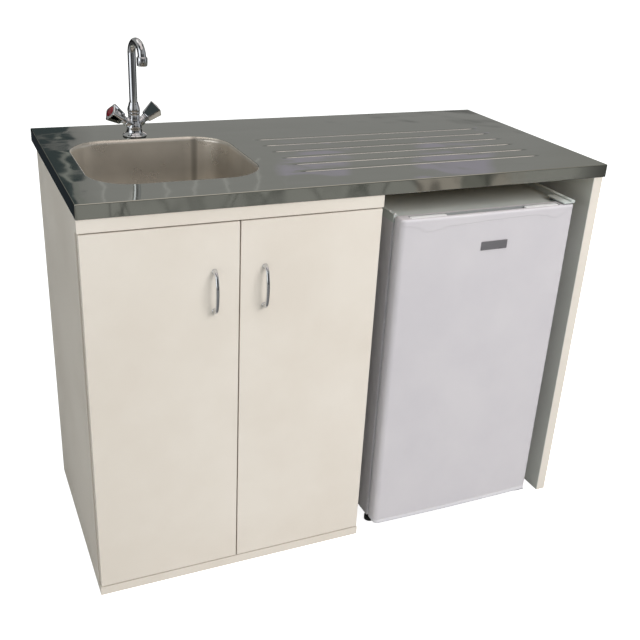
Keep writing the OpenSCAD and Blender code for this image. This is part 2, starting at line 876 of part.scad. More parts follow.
module spindle_form(side) {
  valve_axis(side) translate([0, 0, spindle_in]) cylinder(r = spindle_r, h = spindle_out - spindle_in);
}

module hot_knob() color(chrome_grey) unit() knob_form(-1);
module hot_index() color([0.45, 0.05, 0.08]) unit() index_form(-1);
module hot_spindle() color([0.80, 0.68, 0.35]) unit() spindle_form(-1);
module cold_knob() color(chrome_grey) unit() knob_form(1);
module cold_index() color([0.08, 0.15, 0.45]) unit() index_form(1);
module cold_spindle() color([0.80, 0.68, 0.35]) unit() spindle_form(1);

// ---------- cupboard doors ----------

module hinge_arm(z) {
  translate([0, 0, z]) {
    difference() {
      union() {
        translate([pivot_x, pivot_y, -arm_h / 2]) cylinder(r = eye_r, h = arm_h);
        block([pivot_x, pivot_y - arm_t / 2, -arm_h / 2], [arm_x0 + arm_t, pivot_y + arm_t / 2, arm_h / 2]);
      }
      translate([pivot_x, pivot_y, -arm_h]) cylinder(r = hinge_pin_r + fit, h = 2 * arm_h);
    }
    block([arm_x0, pivot_y - arm_t / 2, -arm_h / 2], [arm_x0 + arm_t, arm_back_y, arm_h / 2]);
    block([in_x0, plate_y0, -plate_h / 2], [arm_x0 + arm_t, arm_back_y, plate_h / 2]);
  }
}

module hinge_arms() color(chrome_grey) unit() {
  for (z = hinge_zs) {
    hinge_arm(z);
    mirror_cab() hinge_arm(z);
  }
}

module hinge_cups_form() {
  for (z = hinge_zs) {
    translate([cup_x, door_y1 - cup_depth, z])
      difference() {
        y_cylinder(cup_r, cup_depth);
        translate([0, cup_wall, 0]) y_cylinder(cup_r - cup_wall, cup_depth);
      }
    translate([pivot_x, pivot_y, z - hinge_pin_len / 2]) cylinder(r = hinge_pin_r, h = hinge_pin_len);
  }
}

module door_form() {
  difference() {
    block([door_x0, door_y0, door_z0], [door_x1, door_y1, door_z1]);
    for (z = hinge_zs)
      translate([cup_x, door_y1 - cup_depth, z]) y_cylinder(cup_r + slip / 2, cup_depth + 1);
    for (z = handle_zs)
      translate([handle_x, door_y0 - 1, z]) y_cylinder(handle_screw_r + slip, door_t + 2);
  }
}

module handle_form() {
  difference() {
    union() {
      for (z = handle_zs) {
        translate([handle_x, door_y0 - foot_t, z]) y_cylinder(handle_foot_r, foot_t);
        translate([handle_x, door_y0 - post_len, z]) y_cylinder(handle_bar_r + 0.5, post_len);
        translate([handle_x, door_y0 - post_len, z]) sphere(r = handle_bar_r + 0.5);
      }
      translate([handle_x, bow_y + bow_r, handle_mid_h])
        rotate([0, 90, 0]) rotate([0, 0, 270 - bow_half])
          rotate_extrude(angle = 2 * bow_half) translate([bow_r, 0]) circle(handle_bar_r);
    }
    for (z = handle_zs)
      translate([handle_x, door_y0 - screw_bite - slip, z])
        y_cylinder(handle_screw_r + slip / 2, screw_bite + 1);
  }
}

module handle_screws_form() {
  for (z = handle_zs) {
    translate([handle_x, door_y0 - screw_bite, z]) y_cylinder(handle_screw_r, screw_bite + door_t + 1);
    translate([handle_x, door_y1, z]) y_cylinder(screw_head_r, screw_head_h);
  }
}

module left_door() color(cream) unit() door_form();
module left_handle() color(chrome_grey) unit() handle_form();
module left_handle_screws() color(chrome_grey) unit() handle_screws_form();
module left_hinge_cups() color(chrome_grey) unit() hinge_cups_form();
module right_door() color(cream) unit() mirror_cab() door_form();
module right_handle() color(chrome_grey) unit() mirror_cab() handle_form();
module right_handle_screws() color(chrome_grey) unit() mirror_cab() handle_screws_form();
module right_hinge_cups() color(chrome_grey) unit() mirror_cab() hinge_cups_form();

// ---------- fridge body ----------

module stem_holes(grow, z0, z1) {
  for (x = [fx0 + foot_in, fx1 - foot_in])
    translate([x, foot_y, z0]) cylinder(r = stem_r + grow, h = z1 - z0);
}

// the body's outline from front_y back, taken in by inset on its sides, top, bottom and back
module body_block(inset, front_y) {
  block([fx0 + inset, front_y, fb_z0 + inset], [fx1 - inset, fb_y1 - inset, fb_z1 - inset]);
}

// the compressor pocket, made larger by grow, open to the back
module pocket(grow) {
  block([fin_x0 - grow, pocket_y0 - grow, pocket_z0 - grow],
        [fin_x1 + grow, fb_y1 + 1, pocket_z1 + grow]);
}

// the food space, made larger by grow, stepped over the compressor pocket
module cavity(grow, front_y) {
  difference() {
    block([fin_x0 - grow, front_y, fin_z0 - grow], [fin_x1 + grow, fin_y1 + grow, fin_z1 + grow]);
    block([fx0, step_y + grow, fb_z0], [fx1, fb_y1 + 1, step_z - grow]);
  }
}

module fridge_shell() color(fridge_white) unit() {
  difference() {
    body_block(0, fb_y0);
    difference() {
      body_block(shell_t, fb_y0 - 1);
      pocket(shell_t);
    }
    pocket(0);
    stem_holes(air, fb_z0 - 1, fb_z0 + 2);
  }
}

module fridge_foam() color(foam_yellow) unit() {
  difference() {
    body_block(shell_t, fb_y0 + liner_t);
    cavity(liner_t, fb_y0 - 1);
    pocket(shell_t);
    stem_holes(1, fb_z0, stem_top + 1);
  }
}

module fridge_liner() color(liner_white) unit() {
  difference() {
    union() {
      cavity(liner_t, fb_y0);
      block([fx0 + shell_t, fb_y0, fb_z0 + shell_t], [fx1 - shell_t, fb_y0 + liner_t, fb_z1 - shell_t]);
    }
    cavity(0, fb_y0 - 1);
  }
  for (z = shelf_zs, x = [fin_x0, fin_x1 - shelf_rib])
    block([x, fb_y0 + shelf_front_in, z - shelf_frame_r - shelf_rib],
          [x + shelf_rib, fin_y1, z - shelf_frame_r]);
  translate([fin_x1 - boss_t, dial_y, dial_z])
    difference() {
      x_cylinder(boss_r, boss_t);
      translate([-1, 0, 0]) x_cylinder(flap_pin_r + 1 + fit, boss_t);
    }
}

module upper_hinge_form(grow) {
  block([fx1 - fhinge_w - fhinge_edge - grow, fpivot_y - fhinge_front - grow, upper_plate_z - grow],
        [fx1 - fhinge_edge + grow, fpivot_y + fhinge_back + grow, upper_plate_z + fhinge_t + grow]);
  block([fx1 - fhinge_w - fhinge_edge - grow, fpivot_y + fhinge_back - fhinge_t - grow, fb_z1],
        [fx1 - fhinge_edge + grow, fpivot_y + fhinge_back + grow, upper_plate_z + fhinge_t]);
}

module fridge_hinges() color(chrome_grey) unit() {
  upper_hinge_form(0);
  translate([fpivot_x, fpivot_y, fdoor_z1 - 14])
    cylinder(r = fhinge_pin_r, h = upper_plate_z - fdoor_z1 + 15);
  difference() {
    block([fx1 - fhinge_w - fhinge_edge, fpivot_y - fhinge_front, fb_z0 - fhinge_t],
          [fx1 - fhinge_edge, foot_y + fhinge_w / 2, fb_z0]);
    stem_holes(air, fb_z0 - fhinge_t - 1, fb_z0 + 1);
  }
  translate([fpivot_x, fpivot_y, fb_z0 - 1]) cylinder(r = fhinge_pin_r, h = cap_low_h);
}

module fridge_top() color(fridge_white) unit() {
  rim_z = fb_z1 + cover_t;
  difference() {
    union() {
      block([fx0, cover_y0, fb_z1], [fx1, fb_y1, rim_z]);
      for (x = [fx0, fx1 - rim_w_top])
        block([x, cover_y0, rim_z - eps], [x + rim_w_top, fb_y1, rim_z + cover_rim_h]);
      block([fx1 - fhinge_w - hood_w, fpivot_y - fhinge_front - 2, upper_plate_z],
            [fx1, cover_y0 + hood_len, rim_z + cover_rim_h]);
    }
    upper_hinge_form(slip);
    block([fx1 - fhinge_w - hood_w - 1, fpivot_y - fhinge_front - 3, rim_z - 1],
          [fx1 + 1, cover_y0 - slip, upper_plate_z + slip]);
  }
}

module compressor() color([0.08, 0.08, 0.09]) unit() {
  base_z = pocket_z0 + grommet_h;
  cy = (pocket_y0 + fb_y1) / 2;
  translate([fdoor_mid, cy, 0]) {
    for (x = [-1, 1], y = [-1, 1])
      translate([x * (comp_plate_w / 2 - grommet_in), y * (comp_plate_d / 2 - grommet_in), pocket_z0])
        cylinder(r = grommet_r, h = grommet_h);
    block([-comp_plate_w / 2, -comp_plate_d / 2, base_z],
          [comp_plate_w / 2, comp_plate_d / 2, base_z + comp_plate_t]);
    translate([0, 0, base_z]) cylinder(r = comp_r, h = comp_can_h);
    translate([0, 0, base_z + comp_can_h])
      intersection() {
        translate([0, 0, -comp_r * 0.6]) sphere(r = comp_r * 1.166);
        cylinder(r = comp_r + 10, h = comp_r);
      }
  }
}

module rear_feet() color(rubber_black) unit() {
  for (x = [fx0 + foot_in, fx1 - foot_in]) translate([x, rear_foot_y, 0]) cylinder(r = foot_pad_r, h = fb_z0);
}

module foot_form(x) {
  translate([x, foot_y, 0]) {
    cylinder(r = foot_pad_r, h = foot_pad_h);
    cylinder(r = stem_r, h = stem_top);
  }
}

module front_foot_left() color(rubber_black) unit() foot_form(fx0 + foot_in);
module front_foot_right() color(rubber_black) unit() foot_form(fx1 - foot_in);

module shelf_form(z) {
  x0 = fin_x0 + fit_side;
  x1 = fin_x1 - fit_side;
  y0 = fb_y0 + shelf_front_in + shelf_frame_r;
  y1 = fin_y1 - fit_side;
  rod_pitch = (x1 - x0 - 2 * shelf_end_in) / (shelf_rods - 1);
  for (y = [y0, y1]) translate([x0, y, z]) x_cylinder(shelf_frame_r, x1 - x0);
  for (i = [0 : shelf_rods - 1])
    translate([x0 + shelf_end_in + i * rod_pitch, y0, z]) y_cylinder(shelf_rod_r, y1 - y0);
}

module fridge_shelves() color([0.9, 0.9, 0.9]) unit() {
  for (z = shelf_zs) shelf_form(z);
}

module crisper_drawer() color([0.80, 0.86, 0.90]) unit() {
  x0 = fin_x0 + fit_side;
  x1 = fin_x1 - fit_side;
  y0 = fb_y0 + crisper_front_in;
  y1 = step_y - crisper_back_gap;
  z1 = step_z - crisper_head_gap;
  difference() {
    block([x0, y0, fin_z0], [x1, y1, z1]);
    block([x0 + crisper_t, y0 + crisper_t, fin_z0 + crisper_t], [x1 - crisper_t, y1 - crisper_t, z1 + 1]);
  }
}

module ice_box() color([0.85, 0.88, 0.90]) unit() {
  x0 = fin_x0 + fit_side;
  x1 = fin_x1 - fit_side;
  y1 = fin_y1 - icebox_back_gap;
  z0 = fin_z1 - icebox_h;
  pin_z = fin_z1 - icebox_t - 5;
  difference() {
    block([x0, icebox_y0, z0], [x1, y1, fin_z1]);
    block([x0 + icebox_t, icebox_y0 - 1, z0 + icebox_t], [x1 - icebox_t, y1 - icebox_t, fin_z1 - icebox_t]);
  }
  for (x = [x0, x1 - icebox_t])
    difference() {
      block([x, icebox_y0 - ear_len, pin_z - 5], [x + icebox_t, icebox_y0, fin_z1]);
      translate([x - 1, icebox_y0 - ear_len / 2, pin_z]) x_cylinder(flap_pin_r + fit, icebox_t + 2);
    }
}

module ice_box_flap() color([0.80, 0.86, 0.90]) unit() {
  x0 = fin_x0 + fit_side;
  x1 = fin_x1 - fit_side;
  z0 = fin_z1 - icebox_h;
  pin_z = fin_z1 - icebox_t - 5;
  pin_y = icebox_y0 - ear_len / 2;
  block([x0 + icebox_t + 1, pin_y - flap_t / 2, z0 + 2], [x1 - icebox_t - 1, pin_y + flap_t / 2, pin_z]);
  translate([x0, pin_y, pin_z]) x_cylinder(flap_pin_r, x1 - x0);
}

module thermostat_knob() color(liner_white) unit() {
  translate([fin_x1 - boss_t - air - dial_t, dial_y, dial_z]) {
    difference() {
      x_cylinder(dial_r, dial_t);
      for (a = [0 : 30 : 330]) rotate([a, 0, 0]) translate([-1, 0, dial_r + 1]) x_cylinder(2.5, dial_t - 3);
    }
    x_cylinder(flap_pin_r + 1, dial_t + 6);
  }
}

// ---------- fridge door ----------

// half of the door's plan: crowned face and round upright edges, taken in by inset
function face_y(u, half) = fdoor_bow * pow(u / half, 2);
function door_plan(inset) =
  let (
    half = fridge_w / 2 - inset,
    e = fdoor_edge_r - inset,
    n = 12,
    m = 8,
    edge_y = face_y(half - e, half) + inset + e,
    round_edge = [for (i = [0 : m]) [half - e + e * cos(90 * i / m), edge_y - e * sin(90 * i / m)]]
  )
  concat(
    [[-half, fdoor_t]],
    [for (i = [0 : m]) [-round_edge[i][0], round_edge[i][1]]],
    [for (i = [1 : n - 1]) let (u = (half - e) * (2 * i / n - 1)) [u, face_y(u, half) + inset]],
    [for (i = [m : -1 : 0]) round_edge[i]],
    [[half, fdoor_t]]
  );

module door_prism(inset, z0, z1) {
  translate([fdoor_mid, fdoor_y0, z0]) linear_extrude(z1 - z0) polygon(door_plan(inset));
}

module fdoor_pin_hole(z0, z1) {
  translate([fpivot_x, fpivot_y, z0]) cylinder(r = fhinge_pin_r + fit, h = z1 - z0);
}

module fridge_door_skin() color(fridge_white) unit() {
  difference() {
    door_prism(0, skin_z0, skin_z1);
    door_prism(shell_t, skin_z0 - 1, skin_z1 + 1);
    block([fx0 + shell_t, fdoor_y1 - 1, skin_z0 - 1], [fx1 - shell_t, fdoor_y1 + 1, skin_z1 + 1]);
  }
}

module fridge_door_foam() color(foam_yellow) unit() {
  difference() {
    door_prism(shell_t, skin_z0, skin_z1);
    block([fx0, fdoor_y1 - liner_t, fdoor_z0], [fx1, fdoor_y1 + 1, fdoor_z1]);
  }
}

module fridge_door_caps() color(liner_white) unit() {
  difference() {
    door_prism(0, skin_z1, fdoor_z1);
    translate([fx0 + trough_in, fdoor_y0 + fdoor_edge_r - 2, fdoor_z1 - trough_depth])
      round_plate(fridge_w - trough_in - fhinge_w - 10, trough_w, 4, trough_depth + 1);
    block([fx0, fdoor_y1 - liner_t, fdoor_z0], [fx1, fdoor_y1 + 1, fdoor_z1 - 4]);
    fdoor_pin_hole(fdoor_z1 - 15, fdoor_z1 + 1);
  }
  difference() {
    door_prism(0, fdoor_z0, skin_z0);
    block([fx0, fdoor_y1 - liner_t, fdoor_z0 + 2], [fx1, fdoor_y1 + 1, fdoor_z1]);
    fdoor_pin_hole(fdoor_z0 - 1, skin_z0 + 1);
  }
}

module fridge_door_liner() color(liner_white) unit() {
  block([fx0 + shell_t, fdoor_y1 - liner_t, fdoor_z0 + 2], [fx1 - shell_t, fdoor_y1, fdoor_z1 - 4]);
  for (x = [dike_x0, dike_x1 - dike_t])
    block([x, fdoor_y1, dike_z0], [x + dike_t, fdoor_y1 + dike_out, dike_z1]);
}

module fridge_door_gasket() color([0.85, 0.85, 0.85]) unit() {
  x0 = fx0 + seal_in;
  x1 = fx1 - seal_in;
  z0 = fdoor_z0 + seal_in;
  z1 = fb_z1 - seal_in;
  difference() {
    block([x0, fdoor_y1, z0], [x1, fdoor_y1 + gasket_t, z1]);
    block([x0 + seal_w, fdoor_y1 - 1, z0 + seal_w], [x1 - seal_w, fdoor_y1 + gasket_t + 1, z1 - seal_w]);
  }
}

module fridge_door_racks() color([0.80, 0.86, 0.90]) unit() {
  x0 = dike_x0 + dike_t;
  x1 = dike_x1 - dike_t;
  for (z = rack_zs)
    difference() {
      block([x0, fdoor_y1, z], [x1, fdoor_y1 + rack_deep, z + rack_h]);
      block([x0 + rack_t, fdoor_y1 + rack_t, z + rack_t],
            [x1 - rack_t, fdoor_y1 + rack_deep - rack_t, z + rack_h + 1]);
    }
}

module badge_plate() color([0.62, 0.62, 0.64]) unit() {
  mid = fdoor_mid + badge_off;
  block([mid - badge_w / 2, fdoor_y0 - badge_t, fdoor_z1 - badge_drop - badge_h / 2],
        [mid + badge_w / 2, fdoor_y0, fdoor_z1 - badge_drop + badge_h / 2]);
}

// ---------- selection ----------

left_side_panel();
right_side_panel();
base_panel();
back_panel();
top_fascia();
bottom_strip();
bay_rear_rail();
end_panel();
worktop_board();
steel_top();
worktop_brackets();
sink_bowl();
waste_strainer();
strainer_basket();
waste_seal();
waste_nuts();
p_trap();
waste_pipe();
tap_body();
tap_seal();
tap_fixing();
spout_nut();
spout();
aerator();
hot_knob();
hot_index();
hot_spindle();
cold_knob();
cold_index();
cold_spindle();
hinge_arms();
left_door();
left_handle();
left_handle_screws();
left_hinge_cups();
right_door();
right_handle();
right_handle_screws();
right_hinge_cups();
fridge_shell();
fridge_foam();
fridge_liner();
fridge_top();
fridge_hinges();
compressor();
rear_feet();
front_foot_left();
front_foot_right();
fridge_shelves();
crisper_drawer();
ice_box();
ice_box_flap();
thermostat_knob();
fridge_door_skin();
fridge_door_foam();
fridge_door_caps();
fridge_door_liner();
fridge_door_gasket();
fridge_door_racks();
badge_plate();
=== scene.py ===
import math

import bmesh
import bpy
from mathutils import Matrix, Vector
from mathutils.geometry import delaunay_2d_cdt


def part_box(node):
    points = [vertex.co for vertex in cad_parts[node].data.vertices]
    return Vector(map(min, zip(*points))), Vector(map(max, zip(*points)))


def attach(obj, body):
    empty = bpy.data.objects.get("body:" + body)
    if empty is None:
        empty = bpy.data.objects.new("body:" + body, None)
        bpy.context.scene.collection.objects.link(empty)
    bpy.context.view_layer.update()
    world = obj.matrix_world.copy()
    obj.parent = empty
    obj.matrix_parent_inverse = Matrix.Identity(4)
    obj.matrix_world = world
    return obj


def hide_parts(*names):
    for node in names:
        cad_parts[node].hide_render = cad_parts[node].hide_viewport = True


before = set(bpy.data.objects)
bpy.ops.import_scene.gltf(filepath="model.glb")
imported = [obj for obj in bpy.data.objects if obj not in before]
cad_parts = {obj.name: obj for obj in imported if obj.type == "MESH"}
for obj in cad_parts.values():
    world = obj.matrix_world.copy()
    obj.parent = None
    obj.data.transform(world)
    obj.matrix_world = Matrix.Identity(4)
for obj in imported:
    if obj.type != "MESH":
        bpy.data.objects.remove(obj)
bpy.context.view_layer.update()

MM = 0.001
TOP_LOW, TOP_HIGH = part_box("steel_top")
X0, Y0 = TOP_LOW[0], TOP_LOW[1]


def at(x, y, z):
    """A place in mm from the worktop's front left corner on the floor."""
    return Vector((X0 + x * MM, Y0 + y * MM, z * MM))


def span(node):
    """A node's lowest and highest corners, in the same mm."""
    low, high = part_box(node)
    shift = Vector((X0, Y0, 0.0))
    return (Vector(low) - shift) / MM, (Vector(high) - shift) / MM


# ---------- camera, floor, light ----------

CAMERA_AT = at(-227.9, -1555.7, 1404.1)
CAMERA_YAW, CAMERA_PITCH, CAMERA_ROLL = -24.9, -25.0, 3.2
CAMERA_LENS = 49.89


def make_camera():
    yaw, pitch, roll = (math.radians(a) for a in (CAMERA_YAW, CAMERA_PITCH, CAMERA_ROLL))
    turn = Matrix.Rotation(yaw, 3, "Z")
    ahead = turn @ Vector((0, math.cos(pitch), math.sin(pitch)))
    right = turn @ Vector((1, 0, 0))
    up = right.cross(ahead)
    side = math.cos(roll) * right + math.sin(roll) * up
    top = -math.sin(roll) * right + math.cos(roll) * up
    data = bpy.data.cameras.new("camera")
    data.lens = CAMERA_LENS
    data.sensor_width = 36.0
    data.clip_end = 60.0
    camera = bpy.data.objects.new("camera", data)
    camera.matrix_world = Matrix((side, top, -ahead)).transposed().to_4x4()
    camera.location = CAMERA_AT
    bpy.context.collection.objects.link(camera)
    bpy.context.scene.camera = camera


def area_light(name, place, target, size, watts, colour):
    data = bpy.data.lights.new(name, "AREA")
    data.shape = "RECTANGLE"
    data.size, data.size_y = size
    data.energy = watts
    data.color = colour
    light = bpy.data.objects.new(name, data)
    light.location = place
    light.visible_glossy = False  # the polished pieces mirror the room alone
    light.rotation_euler = (Vector(target) - Vector(place)).to_track_quat("-Z", "Y").to_euler()
    bpy.context.collection.objects.link(light)


def make_lights():
    area_light("key", (1.7, -3.2, 3.0), (0.0, 0.0, 0.5), (2.4, 2.4), 115, (1.0, 0.98, 0.975))
    area_light("fill", (-3.9, -0.6, 1.3), (-0.4, 0.0, 0.5), (1.6, 1.6), 30, (0.97, 0.99, 1.0))
    area_light("overhead", (0.2, -0.6, 3.4), (0.0, 0.0, 0.6), (2.4, 1.2), 30, (1.0, 0.99, 0.98))


# ---------- node helpers ----------

def srgb(red, green, blue):
    """A colour picked as 0-255 display values, as linear RGBA."""
    def linear(v):
        v /= 255.0
        return v / 12.92 if v <= 0.04045 else ((v + 0.055) / 1.055) ** 2.4
    return linear(red), linear(green), linear(blue), 1.0


def grey(value, warm=0.0):
    return value * (1 + warm), value, value * (1 - warm), 1.0


def shader_of(name):
    material = bpy.data.materials.new(name)
    material.use_nodes = True
    return material, material.node_tree, material.node_tree.nodes["Principled BSDF"]


def fill(tree, node, **values):
    """Sets a node's inputs, or links those given another node's output; _ in a name stands for a space."""
    for name, value in values.items():
        socket = node.inputs[name.replace("_", " ")]
        if isinstance(value, bpy.types.NodeSocket):
            tree.links.new(value, socket)
        else:
            socket.default_value = value
    return node


def add_node(tree, kind, **values):
    return fill(tree, tree.nodes.new("ShaderNode" + kind), **values)


def object_coords(tree, scale=(1, 1, 1)):
    coords = add_node(tree, "TexCoord").outputs["Object"]
    return add_node(tree, "Mapping", Vector=coords, Scale=scale).outputs["Vector"]


def noise_of(tree, vector, scale, detail=3.0, rough=0.5):
    node = add_node(tree, "TexNoise", Vector=vector, Scale=scale, Detail=detail, Roughness=rough)
    return node.outputs["Fac"]


def ramp_of(tree, value, stops):
    node = add_node(tree, "ValToRGB", Fac=value)
    node.color_ramp.interpolation = "LINEAR"
    elements = node.color_ramp.elements
    while len(elements) > 1:
        elements.remove(elements[-1])
    elements[0].position, elements[0].color = stops[0]
    for position, colour in stops[1:]:
        elements.new(position).color = colour
    return node.outputs["Color"]


def range_of(tree, value, low, high, from_low=0.3, from_high=0.7):
    node = add_node(tree, "MapRange", Value=value, From_Min=from_low, From_Max=from_high, To_Min=low,
                    To_Max=high)
    return node.outputs["Result"]


def bump_of(tree, height, strength, distance, **after):
    node = add_node(tree, "Bump", Height=height, Strength=strength, Distance=distance, **after)
    return node.outputs["Normal"]


def math_of(tree, operation, first, second=None):
    node = add_node(tree, "Math")
    node.operation = operation
    for socket, value in zip(node.inputs, (first, second)):
        if value is None:
            continue
        if isinstance(value, (int, float)):
            socket.default_value = value
        else:
            tree.links.new(value, socket)
    return node.outputs[0]


def mix_of(tree, first, second, factor=1.0, blend="MIX"):
    node = add_node(tree, "Mix")
    node.data_type = "RGBA"
    node.blend_type = blend
    for name, kind, value in (("Factor", "VALUE", factor), ("A", "RGBA", first), ("B", "RGBA", second)):
        socket = next(i for i in node.inputs if i.name == name and i.type == kind)
        if isinstance(value, (int, float, tuple)):
            socket.default_value = value
        else:
            tree.links.new(value, socket)
    return next(o for o in node.outputs if o.type == "RGBA")


def times(tree, first, second):
    return math_of(tree, "MULTIPLY", first, second)


def tinted(tree, colour, shade, where=1.0):
    """A colour multiplied by a shade, as far as where is 1."""
    return mix_of(tree, colour, shade, where, "MULTIPLY")


def split_of(tree, vector):
    """The x, y and z of a vector."""
    return tuple(add_node(tree, "SeparateXYZ", Vector=vector).outputs)


def mottle_of(tree, vector, scale, dark, light):
    """Slow noise, and a colour that wanders between two with it."""
    slow = noise_of(tree, vector, scale, 4.0, 0.55)
    return slow, ramp_of(tree, slow, [(0.35, dark), (0.65, light)])


def grain_of(tree, vector, scale, depth):
    return bump_of(tree, noise_of(tree, vector, scale, 2.0), 0.35, depth)


def surface(name, light, dark, rough, metallic=0.0, mottle=6.0, grain=900.0, grain_depth=0.00003,
            stretch=(1, 1, 1), coat=0.0, waves=None):
    """A surface with slow colour mottling, roughness that varies with it, and a fine grain."""
    material, tree, shader = shader_of(name)
    vector = object_coords(tree, stretch)
    slow, colour = mottle_of(tree, vector, mottle, dark, light)
    normal = grain_of(tree, vector, grain, grain_depth)
    if waves:
        wave_scale, wave_depth = waves
        wide = noise_of(tree, object_coords(tree), wave_scale, 1.5, 0.4)
        normal = bump_of(tree, wide, 1.0, wave_depth, Normal=normal)
    fill(tree, shader, Base_Color=colour, Roughness=range_of(tree, slow, *rough), Metallic=metallic,
         Coat_Weight=coat, Coat_Roughness=0.12, Normal=normal)
    return material


def laminate_with_painted_shade_face(name, front, inner, inner_x):
    """Cream laminate whose left face, at inner_x mm, has painted shade: the greyer colour given for the
    shaded inner boards.
    """
    material, tree, shader = shader_of(name)
    coords = object_coords(tree)
    edge = X0 + inner_x * MM
    on_front = range_of(tree, split_of(tree, coords)[0], 0.0, 1.0, edge + 0.0012, edge + 0.0016)
    slow, shade = mottle_of(tree, coords, 5.0, grey(0.94), grey(1.0))
    colour = tinted(tree, mix_of(tree, inner, front, on_front), shade)
    fill(tree, shader, Base_Color=colour, Roughness=range_of(tree, slow, 0.32, 0.40),
         Normal=grain_of(tree, coords, 1500.0, 0.00004))
    return material


# painted reflection: how light the bowl's colour is made, by turn round its back right corner (0.5 to the
# back, 0.75 to the right)
BOWL_PAINTED_REFLECTION_BY_TURN = [
    (0.0, 1.0), (0.500, 1.02), (0.514, 1.10), (0.531, 1.16), (0.541, 0.76), (0.549, 0.66), (0.557, 0.76),
    (0.566, 1.24), (0.600, 1.34), (0.630, 1.18), (0.665, 1.05), (0.750, 1.10), (1.0, 1.0),
]
# and painted reflection and shade by height, 0 at the bowl's floor and 1 at the worktop
BOWL_PAINTED_REFLECTION_BY_HEIGHT = [
    (0.0, 1.10), (0.30, 1.30), (0.40, 1.16), (0.53, 0.98), (0.66, 1.00), (0.80, 1.14), (1.0, 1.22),
]
# warm tint of the painted reflection bands
BOWL_PAINTED_WARMTH = 0.012
BOWL_DARK = (180, 176, 168)
BOWL_LIGHT = (192, 188, 180)


def satin_bowl_painted_reflections():
    """Pressed and brushed steel: satin, with painted reflection and shade in its colour, in bands round the
    back right corner and down the walls.
    """
    material, tree, shader = shader_of("brushed_bowl_painted_reflections")
    coords = object_coords(tree)
    x, y, z = split_of(tree, coords)
    corner = at(MOUTH[2] - BOWL_R, MOUTH[3] - BOWL_R, 0.0)
    across = math_of(tree, "SUBTRACT", x, corner.x)
    along = math_of(tree, "SUBTRACT", y, corner.y)
    turn = range_of(tree, math_of(tree, "ARCTAN2", across, along), 0.0, 1.0, -math.pi, math.pi)
    depth = range_of(tree, z, 0.0, 1.0, BOWL_FLOOR * MM, TOP_Z * MM)
    slow, colour = mottle_of(tree, coords, 11.0, srgb(*BOWL_DARK), srgb(*BOWL_LIGHT))
    # paint the reflection and shade bands into the colour, by turn and by height
    for place, stops in ((turn, BOWL_PAINTED_REFLECTION_BY_TURN), (depth, BOWL_PAINTED_REFLECTION_BY_HEIGHT)):
        shades = [(position, grey(value, BOWL_PAINTED_WARMTH)) for position, value in stops]
        colour = tinted(tree, colour, ramp_of(tree, place, shades))
    brushed = object_coords(tree, (1.0, 1.0, 0.15))
    fill(tree, shader, Base_Color=colour, Roughness=range_of(tree, slow, 0.26, 0.32), Metallic=0.75,
         Normal=grain_of(tree, brushed, 1400.0, 0.000006))
    return material


